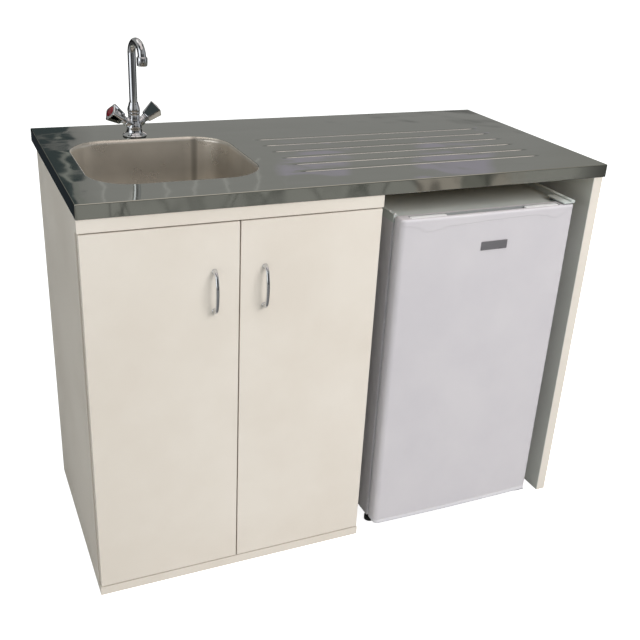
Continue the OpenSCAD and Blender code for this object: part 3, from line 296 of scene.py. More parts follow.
# plain surfaces: material name, light and dark colour, least and most roughness, and what else differs
SURFACES = {
    "cream": ("cream_laminate", (232, 224, 214), (227, 218, 207), (0.30, 0.38),
        dict(mottle=5.0, grain=1500.0, grain_depth=0.00004, coat=0.12)),
    # painted shade: a greyer, greener copy of the cream laminate, for the boards in and behind the fridge's
    # bay
    "board": ("inner_laminate_painted_shade", (210, 212, 205), (203, 205, 198), (0.40, 0.48),
        dict(mottle=5.0, grain=1500.0, grain_depth=0.00004)),
    "core": ("chipboard", (196, 170, 130), (160, 130, 92), (0.75, 0.9),
        dict(mottle=240.0, grain=700.0, grain_depth=0.0003)),
    "steel": ("polished_steel", (194, 195, 184), (186, 187, 176), (0.03, 0.06),
        dict(metallic=1.0, mottle=7.0, grain=1800.0, grain_depth=0.000006, stretch=(0.2, 1.0, 1.0),
             waves=(9.0, 0.0012))),
    "chrome": ("chrome", (226, 228, 230), (214, 216, 219), (0.03, 0.06),
        dict(metallic=1.0, mottle=30.0, grain=500.0, grain_depth=0.000002)),
    "zinc": ("zinc_steel", (190, 192, 194), (160, 163, 166), (0.28, 0.42),
        dict(metallic=1.0, mottle=80.0, grain=900.0, grain_depth=0.00003)),
    "brass": ("brass", (205, 172, 98), (180, 146, 74), (0.2, 0.3),
        dict(metallic=1.0, mottle=60.0, grain=900.0, grain_depth=0.00002)),
    "rubber": ("rubber", (40, 40, 40), (28, 28, 28), (0.6, 0.75),
        dict(mottle=70.0, grain=1200.0, grain_depth=0.00008)),
    "hot": ("hot_index", (120, 22, 34), (104, 16, 28), (0.12, 0.2),
        dict(mottle=90.0, coat=0.5)),
    "cold": ("cold_index", (28, 42, 74), (22, 34, 62), (0.12, 0.2),
        dict(mottle=90.0, coat=0.5)),
    "pipe": ("pipe_plastic", (232, 231, 226), (222, 220, 214), (0.35, 0.45),
        dict(mottle=40.0, grain=800.0, grain_depth=0.00004)),
    "enamel": ("white_enamel", (209, 205, 209), (204, 200, 205), (0.32, 0.40),
        dict(mottle=6.0, grain=420.0, grain_depth=0.00016, coat=0.1)),
    "plastic": ("white_plastic", (222, 220, 224), (216, 214, 219), (0.22, 0.30),
        dict(mottle=14.0, grain=1200.0, grain_depth=0.00002, coat=0.15)),
    # painted shade: a greyer, greener copy of the white plastic, for the cover on the fridge's top
    "cover": ("cover_plastic_painted_shade", (196, 202, 200), (190, 196, 194), (0.45, 0.55),
        dict(mottle=14.0, grain=1200.0, grain_depth=0.00003)),
    "grip": ("grip_plastic", (240, 240, 242), (234, 234, 237), (0.2, 0.28),
        dict(mottle=20.0, grain=1200.0, grain_depth=0.00002, coat=0.2)),
    # painted shade: a grey copy of the white plastic, for the recessed grip trough
    "trough": ("trough_plastic_painted_shade", (150, 152, 152), (142, 144, 145), (0.4, 0.5),
        dict(mottle=20.0, grain=900.0, grain_depth=0.00004)),
    "foam": ("foam", (214, 196, 140), (196, 176, 118), (0.85, 0.95),
        dict(mottle=120.0, grain=500.0, grain_depth=0.0004)),
    "gasket": ("gasket", (196, 196, 198), (182, 182, 185), (0.5, 0.6),
        dict(mottle=50.0, grain=900.0, grain_depth=0.00005)),
    "black": ("black_enamel", (34, 34, 36), (24, 24, 26), (0.3, 0.42),
        dict(mottle=40.0, grain=500.0, grain_depth=0.0001)),
    "badge": ("badge_metal", (158, 156, 160), (146, 144, 149), (0.25, 0.34),
        dict(metallic=0.7, mottle=60.0, grain=1500.0, grain_depth=0.00002, stretch=(0.1, 1.0, 1.0))),
    "clear": ("clear_plastic", (214, 224, 232), (204, 216, 226), (0.08, 0.14),
        dict(mottle=20.0, grain=600.0, grain_depth=0.00001)),
}
LAMINATE = srgb(232, 224, 214)
# painted shade: the greyer colour of the shaded inner face
INNER_PAINTED_SHADE = srgb(206, 208, 201)


def make_materials():
    m = {}
    for key, (name, light, dark, rough, rest) in SURFACES.items():
        m[key] = surface(name, srgb(*light), srgb(*dark), rough, **rest)
    # the end panel's face inside the fridge's bay takes painted shade
    m["end"] = laminate_with_painted_shade_face("end_laminate", LAMINATE, INNER_PAINTED_SHADE, span("end_panel")[0][0])
    m["bowl"] = satin_bowl_painted_reflections()
    clear = m["clear"].node_tree
    fill(clear, clear.nodes["Principled BSDF"], Transmission_Weight=0.7, IOR=1.46)
    return m


CAD_MATERIALS = {
    "cream": ["left_side_panel", "base_panel", "top_fascia", "bottom_strip", "left_door", "right_door"],
    # these boards take the greyer copy of the cream as painted shade
    "board": ["right_side_panel", "back_panel", "bay_rear_rail"],
    "end": ["end_panel"],
    "core": ["worktop_board"],
    "zinc": ["worktop_brackets", "tap_fixing", "hinge_arms", "left_handle_screws", "right_handle_screws",
             "left_hinge_cups", "right_hinge_cups", "fridge_hinges"],
    "chrome": ["waste_strainer", "strainer_basket", "tap_body", "spout_nut", "spout", "aerator",
               "hot_knob", "cold_knob", "left_handle", "right_handle"],
    "steel": ["steel_top"],
    "bowl": ["sink_bowl"],
    "rubber": ["waste_seal", "tap_seal", "rear_feet", "front_foot_left", "front_foot_right"],
    "pipe": ["waste_nuts", "p_trap", "waste_pipe"],
    "brass": ["hot_spindle", "cold_spindle"],
    "hot": ["hot_index"],
    "cold": ["cold_index"],
    "enamel": ["fridge_shell", "fridge_door_skin"],
    "foam": ["fridge_foam", "fridge_door_foam"],
    "cover": ["fridge_top"],
    "plastic": ["fridge_liner", "ice_box", "thermostat_knob", "fridge_door_caps",
                "fridge_door_liner", "fridge_shelves"],
    "clear": ["crisper_drawer", "ice_box_flap", "fridge_door_racks"],
    "gasket": ["fridge_door_gasket"],
    "black": ["compressor"],
    "badge": ["badge_plate"],
}

# boards and housings whose edges catch the light: node and edge radius in mm
SOFT_EDGES = {
    "left_side_panel": 0.7, "right_side_panel": 0.7, "base_panel": 0.5, "top_fascia": 0.8,
    "bottom_strip": 0.8, "end_panel": 1.0, "bay_rear_rail": 0.5, "left_door": 1.0, "right_door": 1.0,
}


def dress_cad_nodes(m):
    for key, nodes in CAD_MATERIALS.items():
        for name in nodes:
            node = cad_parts[name]
            node.data.materials.clear()
            node.data.materials.append(m[key])
    for name, radius in SOFT_EDGES.items():
        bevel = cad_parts[name].modifiers.new("soft_edge", "BEVEL")
        bevel.width = radius * MM
        bevel.segments = 2
        bevel.limit_method = "ANGLE"
        bevel.angle_limit = math.radians(40)


# ---------- mesh helpers ----------

class Shape:
    """Points in mm and faces, gathered before they become one object."""

    def __init__(self):
        self.points = []
        self.faces = []

    def add(self, points, faces):
        start = len(self.points)
        self.points.extend(points)
        self.faces.extend(tuple(start + i for i in face) for face in faces)

    def rows(self, rows, closed=True, cap_first=False, cap_last=False):
        """Quads between rows of equal length; closed joins each row's end to its start."""
        count = len(rows[0])
        faces = []
        last = count if closed else count - 1
        for r in range(len(rows) - 1):
            for i in range(last):
                j = (i + 1) % count
                faces.append((r * count + i, r * count + j, (r + 1) * count + j, (r + 1) * count + i))
        if cap_first:
            faces.append(tuple(reversed(range(count))))
        if cap_last:
            faces.append(tuple((len(rows) - 1) * count + i for i in range(count)))
        self.add([p for row in rows for p in row], faces)

    def object(self, name, material, body, stands_for=(), sharp=35.0, merge=0.01, thick=0.0):
        mesh = bpy.data.meshes.new(name)
        mesh.from_pydata([tuple(at(*p)) for p in self.points], [], self.faces)
        work = bmesh.new()
        work.from_mesh(mesh)
        bmesh.ops.remove_doubles(work, verts=work.verts, dist=merge * MM)
        bmesh.ops.recalc_face_normals(work, faces=work.faces)
        work.to_mesh(mesh)
        work.free()
        mesh.shade_smooth()
        mesh.set_sharp_from_angle(angle=math.radians(sharp))
        mesh.materials.append(material)
        piece = bpy.data.objects.new(name, mesh)
        bpy.context.collection.objects.link(piece)
        if thick:
            shell = piece.modifiers.new("sheet", "SOLIDIFY")
            shell.thickness = abs(thick) * MM
            shell.offset = -1.0 if thick > 0 else 1.0
        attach(piece, body)
        if stands_for:
            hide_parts(*stands_for)
        return piece


def circle(radius, count, z=0.0, x=0.0, y=0.0):
    turns = [2 * math.pi * i / count for i in range(count)]
    return [(x + radius * math.cos(a), y + radius * math.sin(a), z) for a in turns]


def arc(cx, cz, radius, start, end, count):
    """Points (offset, height) on an arc, angles in degrees."""
    turns = [math.radians(start + (end - start) * i / count) for i in range(count + 1)]
    return [(cx + radius * math.cos(a), cz + radius * math.sin(a)) for a in turns]


def round_rect(x0, y0, x1, y1, radius, z, corner=8, side=1):
    """A round-cornered rectangle, counter-clockwise, with the same number of points for any radius."""
    radius = max(radius, 0.05)
    centres = [(x1 - radius, y0 + radius, -90), (x1 - radius, y1 - radius, 0),
               (x0 + radius, y1 - radius, 90), (x0 + radius, y0 + radius, 180)]
    points = []
    for cx, cy, start in centres:
        points += [(x, y, z) for x, y in arc(cx, cy, radius, start, start + 90, corner)]
    full = []
    for i, point in enumerate(points):
        full.append(point)
        if i % (corner + 1) == corner:
            after = points[(i + 1) % len(points)]
            for k in range(1, side):
                t = k / side
                full.append(tuple(point[a] + (after[a] - point[a]) * t for a in range(3)))
    return full


def placed(points, matrix):
    return [tuple(matrix @ Vector(p)) for p in points]


def lathe(shape, profile, matrix, count=64, cap_first=False, cap_last=False):
    """Adds a turned form: profile is (radius, height) along the matrix's z."""
    rows = [placed(circle(max(r, 0.001), count, z), matrix) for r, z in profile]
    shape.rows(rows, True, cap_first, cap_last)


def tube(shape, path, radii, count):
    """Adds a swept round bar, closed at both ends, along a path that turns gently."""
    rows = []
    normal = None
    for i, point in enumerate(path):
        before = Vector(path[max(i - 1, 0)])
        after = Vector(path[min(i + 1, len(path) - 1)])
        ahead = (after - before).normalized()
        if normal is None:
            normal = ahead.orthogonal().normalized()
        normal = (normal - ahead * normal.dot(ahead)).normalized()
        side = ahead.cross(normal)
        radius = radii[i] if isinstance(radii, (list, tuple)) else radii
        rows.append([tuple(Vector(point) + radius * (math.cos(a) * normal + math.sin(a) * side))
                     for a in (2 * math.pi * k / count for k in range(count))])
    shape.rows(rows, True, True, True)


def smooth_profile(points, steps=6):
    """A smooth curve through (radius, height) points."""
    result = []
    for i in range(len(points) - 1):
        p0 = points[max(i - 1, 0)]
        p1, p2 = points[i], points[i + 1]
        p3 = points[min(i + 2, len(points) - 1)]
        for k in range(steps):
            t = k / steps
            result.append(tuple(
                0.5 * (2 * b + (c - a) * t + (2 * a - 5 * b + 4 * c - d) * t * t
                       + (3 * b - a - 3 * c + d) * t ** 3)
                for a, b, c, d in zip(p0, p1, p2, p3)))
    result.append(points[-1])
    return result


def fill_between(shape, loops, z, kind, left_out):
    """Fills the flat ground of closed loops with triangles, apart from those whose middle is left out.

    kind is delaunay_2d_cdt's output: 0 fills the convex hull, 1 only what the loops enclose.
    """
    points, edges = [], []
    for loop in loops:
        start = len(points)
        points += [Vector(p[:2]) for p in loop]
        edges += [(start + i, start + (i + 1) % len(loop)) for i in range(len(loop))]
    found, _, triangles, _, _, _ = delaunay_2d_cdt(points, edges, [], kind, 1e-4)
    kept = []
    for triangle in triangles:
        x = sum(found[i][0] for i in triangle) / 3
        y = sum(found[i][1] for i in triangle) / 3
        if not left_out(x, y):
            kept.append(tuple(triangle))
    shape.add([(p[0], p[1], z) for p in found], kept)


# ---------- worktop ----------

TOP_Z = TOP_HIGH[2] / MM
APRON_Z = TOP_LOW[2] / MM
TOP_W = (TOP_HIGH[0] - TOP_LOW[0]) / MM
TOP_D = (TOP_HIGH[1] - TOP_LOW[1]) / MM
FOLD_R = 1.8
LIP_R = 1.4
SHEET = 0.8
BOWL_LOW, BOWL_HIGH = span("sink_bowl")
RIM = 8.0
BOWL_R = 90.0
MOUTH = (BOWL_LOW[0] + RIM, BOWL_LOW[1] + RIM, BOWL_HIGH[0] - RIM, BOWL_HIGH[1] - RIM)
BOWL_FLOOR = span("waste_strainer")[1][2] - 1.2
TAP_X = (span("tap_seal")[0][0] + span("tap_seal")[1][0]) / 2
TAP_Y = (span("tap_seal")[0][1] + span("tap_seal")[1][1]) / 2
TAP_HOLE_R = 17.0
TAP_RING_R = 21.0
GROOVES = 6
GROOVE_PITCH = 55.0
GROOVE_HALF = 8.0
GROOVE_DEPTH = 0.7
GROOVE_X = (460.0, 1105.0)
GROOVE_Y0 = 111.0
GROOVE_FADE = 60.0
FADE_STEPS = 8
RUN_STEPS = 40
ACROSS_STEPS = 12
FOLD_FLAT = 0.8
LIP_FLAT = 1.0


def mouth_loop(grow, z):
    x0, y0, x1, y1 = MOUTH
    return round_rect(x0 - grow, y0 - grow, x1 + grow, y1 + grow, BOWL_R + grow, z, 20, 6)


def edge_loop(inset, z):
    return round_rect(inset, inset, TOP_W - inset, TOP_D - inset, max(1.6 - inset * 0.5, 0.3), z, 4, 12)


def groove_depth(x, y):
    ends = min(x - GROOVE_X[0], GROOVE_X[1] - x) / GROOVE_FADE
    if ends <= 0:
        return 0.0
    ends = 1.0 if ends >= 1 else 0.5 - 0.5 * math.cos(math.pi * ends)
    for i in range(GROOVES):
        off = abs(y - GROOVE_Y0 - i * GROOVE_PITCH)
        if off < GROOVE_HALF:
            return GROOVE_DEPTH * ends * (0.5 + 0.5 * math.cos(math.pi * off / GROOVE_HALF))
    return 0.0


def drainer_rows():
    x0, x1 = GROOVE_X
    fade = [GROOVE_FADE * k / FADE_STEPS for k in range(1, FADE_STEPS + 1)]
    full = x0 + fade[-1]
    run = x1 - GROOVE_FADE - full
    xs = [x0 - 4, x0] + [x0 + f for f in fade]
    xs += [full + run * k / RUN_STEPS for k in range(1, RUN_STEPS + 1)]
    xs += [x1 - GROOVE_FADE + f for f in fade] + [x1 + 4]
    ys = []
    for i in range(GROOVES):
        mid = GROOVE_Y0 + i * GROOVE_PITCH
        ys += [mid - GROOVE_HALF - 2.0]
        ys += [mid - GROOVE_HALF + 2 * GROOVE_HALF * k / ACROSS_STEPS for k in range(ACROSS_STEPS + 1)]
        ys += [mid + GROOVE_HALF + 2.0]
    return [[(x, y, TOP_Z - groove_depth(x, y)) for x in xs] for y in ys]


def make_worktop(m):
    """The folded steel sheet: aprons, the lip into the bowl, pressed grooves and the tap's hole."""
    shape = Shape()
    fold = [(0.0, APRON_Z), (0.0, APRON_Z + 1.0), (0.0, TOP_Z - FOLD_R - 0.6)]
    fold += [(FOLD_R + x, z) for x, z in arc(0.0, TOP_Z - FOLD_R, FOLD_R, 180, 90, 6)]
    fold += [(FOLD_R + FOLD_FLAT, TOP_Z)]
    shape.rows([edge_loop(inset, z) for inset, z in fold])
    outer = edge_loop(FOLD_R + FOLD_FLAT, TOP_Z)

    grow = LIP_R + LIP_FLAT
    lip = [(grow, TOP_Z)]
    lip += [(LIP_R + x, z) for x, z in arc(0.0, TOP_Z - LIP_R, LIP_R, 90, 180, 6)]
    lip += [(0.0, TOP_Z - LIP_R - 1.2)]
    shape.rows([mouth_loop(out, z) for out, z in lip])
    mouth = mouth_loop(grow, TOP_Z)

    grid = drainer_rows()
    shape.rows(grid, closed=False)
    border = grid[0] + [row[-1] for row in grid[1:]] + list(reversed(grid[-1][:-1]))
    border += [row[0] for row in reversed(grid[1:-1])]
    ring, hole = (circle(radius, 32, TOP_Z, TAP_X, TAP_Y) for radius in (TAP_RING_R, TAP_HOLE_R))
    shape.rows([ring, hole])

    def in_mouth(x, y):
        x0, y0, x1, y1 = MOUTH[0] - grow, MOUTH[1] - grow, MOUTH[2] + grow, MOUTH[3] + grow
        radius = BOWL_R + grow
        dx = max(x0 + radius - x, x - (x1 - radius), 0.0)
        dy = max(y0 + radius - y, y - (y1 - radius), 0.0)
        return x0 < x < x1 and y0 < y < y1 and math.hypot(dx, dy) < radius

    def in_grid(x, y):
        return grid[0][0][0] < x < grid[0][-1][0] and grid[0][0][1] < y < grid[-1][0][1]

    def in_ring(x, y):
        return math.hypot(x - TAP_X, y - TAP_Y) < TAP_RING_R

    fill_between(shape, [outer, mouth, border, ring], TOP_Z, 0,
                 lambda x, y: in_mouth(x, y) or in_grid(x, y) or in_ring(x, y))
    shape.object("worktop_sheet", m["steel"], "unit", ["steel_top"], thick=SHEET)


# ---------- sink bowl ----------

DRAFT = 12.0
FILLET = 28.0
DRAIN_R = 41.3


def make_bowl(m):
    shape = Shape()
    top = TOP_Z - LIP_R + 0.6
    fillet_z = BOWL_FLOOR + 1.2 + FILLET
    profile = [(-0.15 - DRAFT * t, top + (fillet_z - top) * t) for t in (k / 14 for k in range(15))]
    profile += [(-DRAFT - FILLET + x, z) for x, z in arc(0.0, fillet_z, FILLET, 0, -90, 10)][1:]
    rows = [mouth_loop(grow, z) for grow, z in profile]
    centre = ((MOUTH[0] + MOUTH[2]) / 2, (MOUTH[1] + MOUTH[3]) / 2)
    inner = rows[-1]
    drain = []
    for x, y, _ in inner:
        angle = math.atan2(y - centre[1], x - centre[0])
        x, y = centre[0] + DRAIN_R * math.cos(angle), centre[1] + DRAIN_R * math.sin(angle)
        drain.append((x, y, BOWL_FLOOR))
    steps = 12
    for k in range(1, steps + 1):
        t = k / steps
        rows.append([tuple(a + (b - a) * t for a, b in zip(start, end)) for start, end in zip(inner, drain)])
    shape.rows(rows)
    shape.object("bowl_shell", m["bowl"], "unit", ["sink_bowl"], sharp=60, thick=-SHEET)


# ---------- tap ----------

SEAL_TOP = span("tap_seal")[1][2]
TAP_TURN = 11.0
VALVE_Z = TOP_Z + 21.5
VALVE_TILT = 34.0
BODY_TOP = span("tap_body")[1][2]
SPOUT_TOP = span("spout")[1][2]
SPOUT_R = 9.0
BEND_R = 27.5
BEND_Z = SPOUT_TOP - SPOUT_R - BEND_R
KNOB_IN, KNOB_OUT = 35.0, 69.0


def upright(x, y, z):
    return Matrix.Translation(Vector((x, y, z)))


def on_tap(z):
    """The tap's own axes at one height: turned in its hole as the whole tap is."""
    return upright(TAP_X, TAP_Y, z) @ Matrix.Rotation(math.radians(TAP_TURN), 4, "Z")


def valve_axis(side):
    return on_tap(VALVE_Z) @ Matrix.Rotation(math.radians(side * (90 - VALVE_TILT)), 4, "Y")


def make_tap(m):
    body = Shape()
    profile = [(26.6, 0.0), (27.0, 0.7), (26.9, 1.9), (25.6, 3.2)]
    waist = [(25.6, 3.2), (22.0, 5.0), (19.0, 7.6), (17.6, 13.0), (17.2, 20.0), (16.6, 25.0), (14.8, 29.0)]
    profile += smooth_profile(waist + [(13.5, 33.0)], 5)
    profile += [(13.2, 37.0), (13.2, BODY_TOP - SEAL_TOP - 0.6), (12.8, BODY_TOP - SEAL_TOP)]
    lathe(body, profile + [(9.2, BODY_TOP - SEAL_TOP)], on_tap(SEAL_TOP), 72, cap_first=True)
    for side in (-1, 1):
        socket = [(10.6, 8.0), (11.0, 14.0), (11.0, 23.0), (10.3, 24.4), (9.2, 25.0), (8.6, 26.6)]
        socket += [(8.6, 30.2), (9.6, 31.2), (9.6, 33.4), (8.8, 34.3), (4.3, 34.3)]
        lathe(body, socket, valve_axis(side), 48)
    body.object("tap_casting", m["chrome"], "unit", ["tap_body"], sharp=40)

    nut = Shape()
    high = span("spout_nut")[1][2] - BODY_TOP
    profile = [(9.4, 0.0), (12.9, 0.0), (13.5, 0.7), (14.0, 6.0), (13.6, 6.6), (13.7, 7.2), (14.3, 8.0)]
    profile += [(14.5, 12.0)]
    profile += smooth_profile([(14.5, 12.0), (13.6, 16.0), (11.8, 21.5), (10.6, high - 1.0)], 4)
    lathe(nut, profile + [(10.2, high), (9.4, high)], on_tap(BODY_TOP), 64)
    nut.object("spout_collar", m["chrome"], "unit", ["spout_nut"], sharp=40)

    spout = Shape()
    low = span("spout")[0][2]
    path = [(0, 0, low + (BEND_Z - low) * k / 6) for k in range(6)]
    path += [(0, y, z) for y, z in arc(-BEND_R, BEND_Z, BEND_R, 0, 180, 36)]
    path += [(0, -2 * BEND_R, BEND_Z - 6.5)]
    tube(spout, placed(path, on_tap(0.0)), SPOUT_R, 40)
    spout.object("spout_tube", m["chrome"], "spout", ["spout"], sharp=50)

    tip = Shape()
    low, high = span("aerator")
    height = high[2] - low[2]
    count = 72
    rows = []
    profile = [(7.6, 1.6), (8.6, 0.2), (10.4, 0.0), (11.3, 0.7), (11.6, 1.6), (11.6, 4.6), (12.0, 5.2),
               (12.0, height - 2.4), (11.3, height - 1.0), (10.0, height), (9.1, height)]
    for radius, z in profile:
        ring = []
        for x, y, h in circle(radius, count, z):
            angle = math.atan2(y, x)
            knurl = 0.35 * max(math.cos(12 * angle), 0.0) if 0.5 < z < 5.0 else 0.0
            scale = (radius - knurl) / radius
            ring.append((x * scale, y * scale - 2 * BEND_R, h))
        rows.append(placed(ring, on_tap(low[2])))
    tip.rows(rows, True, True, False)
    tip.object("aerator_sleeve", m["chrome"], "spout", ["aerator"], sharp=40)


def knob_ring(half, corner, z, count=16):
    """A square with round corners across the valve's axis."""
    corner = min(corner, half - 0.01)
    return round_rect(-half, -half, half, half, corner, z, count, 6)


def make_knob(m, side, body, knob_node, index_node, colour):
    """A four-sided knob that widens outward, with a domed disc in its end."""
    shape = Shape()
    length = KNOB_OUT - KNOB_IN
    cornerwise = valve_axis(side) @ Matrix.Rotation(math.radians(45), 4, "Z")
    rings = [(4.4, 4.3, 0.0), (9.8, 7.4, 0.0), (10.9, 6.6, 0.5), (11.5, 5.4, 1.8)]
    for t in (k / 8 for k in range(1, 9)):
        rings.append((11.5 + 4.4 * t, 5.4 - 1.8 * t, 1.8 + (length - 4.4) * t))
    rings += [(16.0, 4.0, length - 1.8), (15.5, 4.6, length - 0.8), (14.4, 6.0, length - 0.2)]
    rings += [(13.2, 8.0, length), (12.6, 12.5, length), (12.4, 12.3, length - 0.7)]
    rows = [placed(knob_ring(half, corner, KNOB_IN + z), cornerwise) for half, corner, z in rings]
    shape.rows(rows, True, False, True)
    shape.object(knob_node + "_form", m["chrome"], body, [knob_node], sharp=38)
    disc = Shape()
    profile = [(12.3, -0.7), (12.3, 0.2), (11.6, 0.9), (9.0, 1.9), (5.0, 2.6), (0.02, 2.8)]
    lathe(disc, [(r, KNOB_OUT + z) for r, z in profile], valve_axis(side), 48, cap_first=True)
    disc.object(index_node + "_disc", m[colour], body, [index_node], sharp=50)


# ---------- door handles ----------

HANDLE_BAR = 3.7
HANDLE_ROOT = 5.6
HANDLE_RISE = 8.0
HANDLE_JOIN = 9.0
HANDLE_FOOT_R = 6.0
LEG_STEPS = 12


def make_handle(m, side):
    """A shallow bow of round bar on two legs, each with a small foot on the door."""
    node = side + "_handle"
    low, high = span(node)
    x = (low[0] + high[0]) / 2
    door_y = span(side + "_door")[0][1]
    foot_low, foot_high = low[2] + HANDLE_FOOT_R, high[2] - HANDLE_FOOT_R
    middle = (foot_low + foot_high) / 2
    reach = door_y - low[1]
    front = door_y - reach + HANDLE_BAR
    half = (foot_high - foot_low) / 2
    arc_r = (half ** 2 + HANDLE_RISE ** 2) / (2 * HANDLE_RISE)
    path, radii = [], []
    start = Vector((x, door_y, foot_low))
    elbow = Vector((x, front + HANDLE_RISE, foot_low - 1.0))
    bend = math.degrees(math.asin((half - HANDLE_JOIN) / arc_r))
    joined = Vector((x, front + arc_r - arc_r * math.cos(math.radians(bend)), foot_low + HANDLE_JOIN))
    for k in range(LEG_STEPS):
        t = k / LEG_STEPS
        point = (1 - t) ** 2 * start + 2 * (1 - t) * t * elbow + t * t * joined
        path.append(tuple(point))
        radii.append(HANDLE_ROOT - (HANDLE_ROOT - HANDLE_BAR) * min(t * 1.5, 1.0))
    for k in range(21):
        a = math.radians(-bend + 2 * bend * k / 20)
        path.append((x, front + arc_r - arc_r * math.cos(a), middle + arc_r * math.sin(a)))
        radii.append(HANDLE_BAR)
    path += [(px, py, 2 * middle - pz) for px, py, pz in reversed(path[:LEG_STEPS])]
    radii += list(reversed(radii[:LEG_STEPS]))
    shape = Shape()
    tube(shape, path, radii, 28)
    for z in (foot_low, foot_high):
        turn = Matrix.Translation(Vector((x, door_y, z))) @ Matrix.Rotation(math.radians(90), 4, "X")
        foot = [(HANDLE_FOOT_R, 0.0), (HANDLE_FOOT_R, 1.2), (5.7, 1.9), (5.0, 2.5), (4.4, 2.7)]
        lathe(shape, foot, turn, 36, True, True)
    shape.object(side + "_handle_bow", m["chrome"], side + "_door", [node], sharp=50)


# ---------- fridge ----------

F_LOW, F_HIGH = span("fridge_door_caps")
DOOR_MID = (F_LOW[0] + F_HIGH[0]) / 2
DOOR_HALF = (F_HIGH[0] - F_LOW[0]) / 2
DOOR_Y0 = F_LOW[1]
DOOR_BACK = F_HIGH[1] - 2.1
DOOR_Z0, DOOR_Z1 = F_LOW[2], F_HIGH[2]
BOTTOM_CAP = 12.0
BOW = 3.0
EDGE_R = 12.0
CREASE_STEP = 0.7
CREASE_RUN = 1.6
CREASE_LOW = 782.0
CREASE_ROWS = 38
CREASE_PITCH = 0.75
COVER_FRONT = 4.0
PLUG_Y = (25.6, 47.6)
TROUGH_X = (DOOR_MID - 200.0, DOOR_MID + 188.0)
TROUGH_Y = (DOOR_Y0 + 10.0, DOOR_Y0 + 28.0)
TROUGH_FLOOR = DOOR_Z1 - 14.5
WAVE = [
    (-224, 803.0), (-205, 802.6), (-190, 798.5), (-161, 786.5), (-130, 789.5), (-108, 795.5), (-60, 797.5),
    (0, 800.0), (60, 801.5), (112, 802.0), (140, 798.0), (173, 790.0), (195, 798.5), (211, 808.0),
    (224, 812.0),
]


def wave_height(u):
    """Height of the crease across the top of the fridge door, at u mm from its middle."""
    for (a, za), (b, zb) in zip(WAVE, WAVE[1:]):
        if u <= b:
            t = min(max((u - a) / (b - a), 0.0), 1.0)
            return za + (zb - za) * (0.5 - 0.5 * math.cos(math.pi * t))
    return WAVE[-1][1]


def door_loop(inset, z, crease=True):
    """The door's outline at one height, with the crease pressed into its face."""
    half = DOOR_HALF - inset
    edge = EDGE_R - min(inset, 6.0)
    flat = half - edge
    corner_y = BOW * (flat / half) ** 2 + inset + edge
    corner = [math.radians(90 * i / 8) for i in range(9)]
    sides = [(half, DOOR_BACK - DOOR_Y0 - inset * 0.4), (half, 22.0), (half, edge + BOW + 2.0)]
    steps = 72
    points = [(-x, y) for x, y in sides]
    points += [(-half + edge - edge * math.cos(a), corner_y - edge * math.sin(a)) for a in corner]
    for i in range(1, steps):
        u = flat * (2 * i / steps - 1)
        points.append((u, BOW * (u / half) ** 2 + inset))
    points += [(half - edge + edge * math.cos(a), corner_y - edge * math.sin(a)) for a in reversed(corner)]
    points += list(reversed(sides))
    result = []
    for u, y in points:
        press = 0.0
        if crease and y < EDGE_R:
            below = (wave_height(u) - z) / CREASE_RUN
            fade = 1.0 - max(y - 6.0, 0.0) / (EDGE_R - 6.0)
            press = CREASE_STEP * min(max(0.5 + below, 0.0), 1.0) * fade
        result.append((DOOR_MID + u, DOOR_Y0 + y + press, z))
    return result


def make_fridge_door(m):
    """The door's enamelled panel, its foot cap, and the grip trough in its top with two inserts."""
    panel = Shape()
    split = DOOR_Z0 + BOTTOM_CAP
    plain = split + 30.0
    heights = [split + 0.8, split + 2.0, plain]
    heights += [plain + (CREASE_LOW - split - 30.0) * k / 12 for k in range(1, 13)]
    heights += [CREASE_LOW + CREASE_PITCH * k for k in range(1, CREASE_ROWS + 1)]
    rows = [door_loop(1.0, split + 0.2, False), door_loop(0.3, split + 0.5, False)]
    rows += [door_loop(0.0, z) for z in heights]
    rows += [door_loop(0.0, 812.0), door_loop(0.35, 813.6), door_loop(1.2, 815.2), door_loop(2.6, 816.4)]
    rows += [door_loop(4.2, DOOR_Z1), door_loop(5.2, DOOR_Z1)]
    panel.rows(rows, True, True, False)

    x0, x1 = TROUGH_X
    y0, y1 = TROUGH_Y
    mouth = round_rect(x0, y0, x1, y1, 5.0, DOOR_Z1, 6, 8)
    trough = [(0.0, DOOR_Z1), (0.6, DOOR_Z1 - 0.4), (0.9, DOOR_Z1 - 1.2), (1.4, TROUGH_FLOOR + 2.0),
              (2.0, TROUGH_FLOOR + 0.6), (3.2, TROUGH_FLOOR)]
    trough_rows = [round_rect(x0 + d, y0 + d, x1 - d, y1 - d, 5.0 - d * 0.5, z, 6, 8) for d, z in trough]
    well = Shape()
    well.rows(trough_rows, True, False, True)
    # the trough takes the painted-shade grey plastic
    well.object("fridge_grip_well", m["trough"], "fridge_door", sharp=40)
    fill_between(panel, [door_loop(5.2, DOOR_Z1), mouth], DOOR_Z1, 1,
                 lambda x, y: x0 < x < x1 and y0 < y < y1)
    panel.object("fridge_door_panel", m["enamel"], "fridge_door", ["fridge_door_skin"],
                 sharp=40)

    caps = Shape()
    bottom = [(3.0, DOOR_Z0), (1.4, DOOR_Z0 + 0.3), (0.6, DOOR_Z0 + 1.2), (0.4, DOOR_Z0 + 2.4),
              (0.4, split - 1.0), (0.8, split - 0.3), (1.4, split)]
    caps.rows([door_loop(inset, z, False) for inset, z in bottom], True, True, True)
    caps.object("fridge_door_foot_cap", m["plastic"], "fridge_door", ["fridge_door_caps"],
                sharp=40)

    inserts = Shape()
    for a, b in ((x0 + 1.6, x0 + 92.0), (x1 - 92.0, x1 - 1.6)):
        z_top = DOOR_Z1 - 0.3
        rings = [(0.0, TROUGH_FLOOR + 0.1), (0.0, z_top - 2.2), (0.4, z_top - 1.0), (1.3, z_top - 0.25)]
        rings += [(2.6, z_top)]
        rows = [round_rect(a + d, y0 + 1.5 + d, b - d, y1 - 1.5 - d, 6.5 - d * 0.8, z, 8, 4)
                for d, z in rings]
        inserts.rows(rows, True, True, True)
    inserts.object("fridge_grip_inserts", m["grip"], "fridge_door", sharp=50)


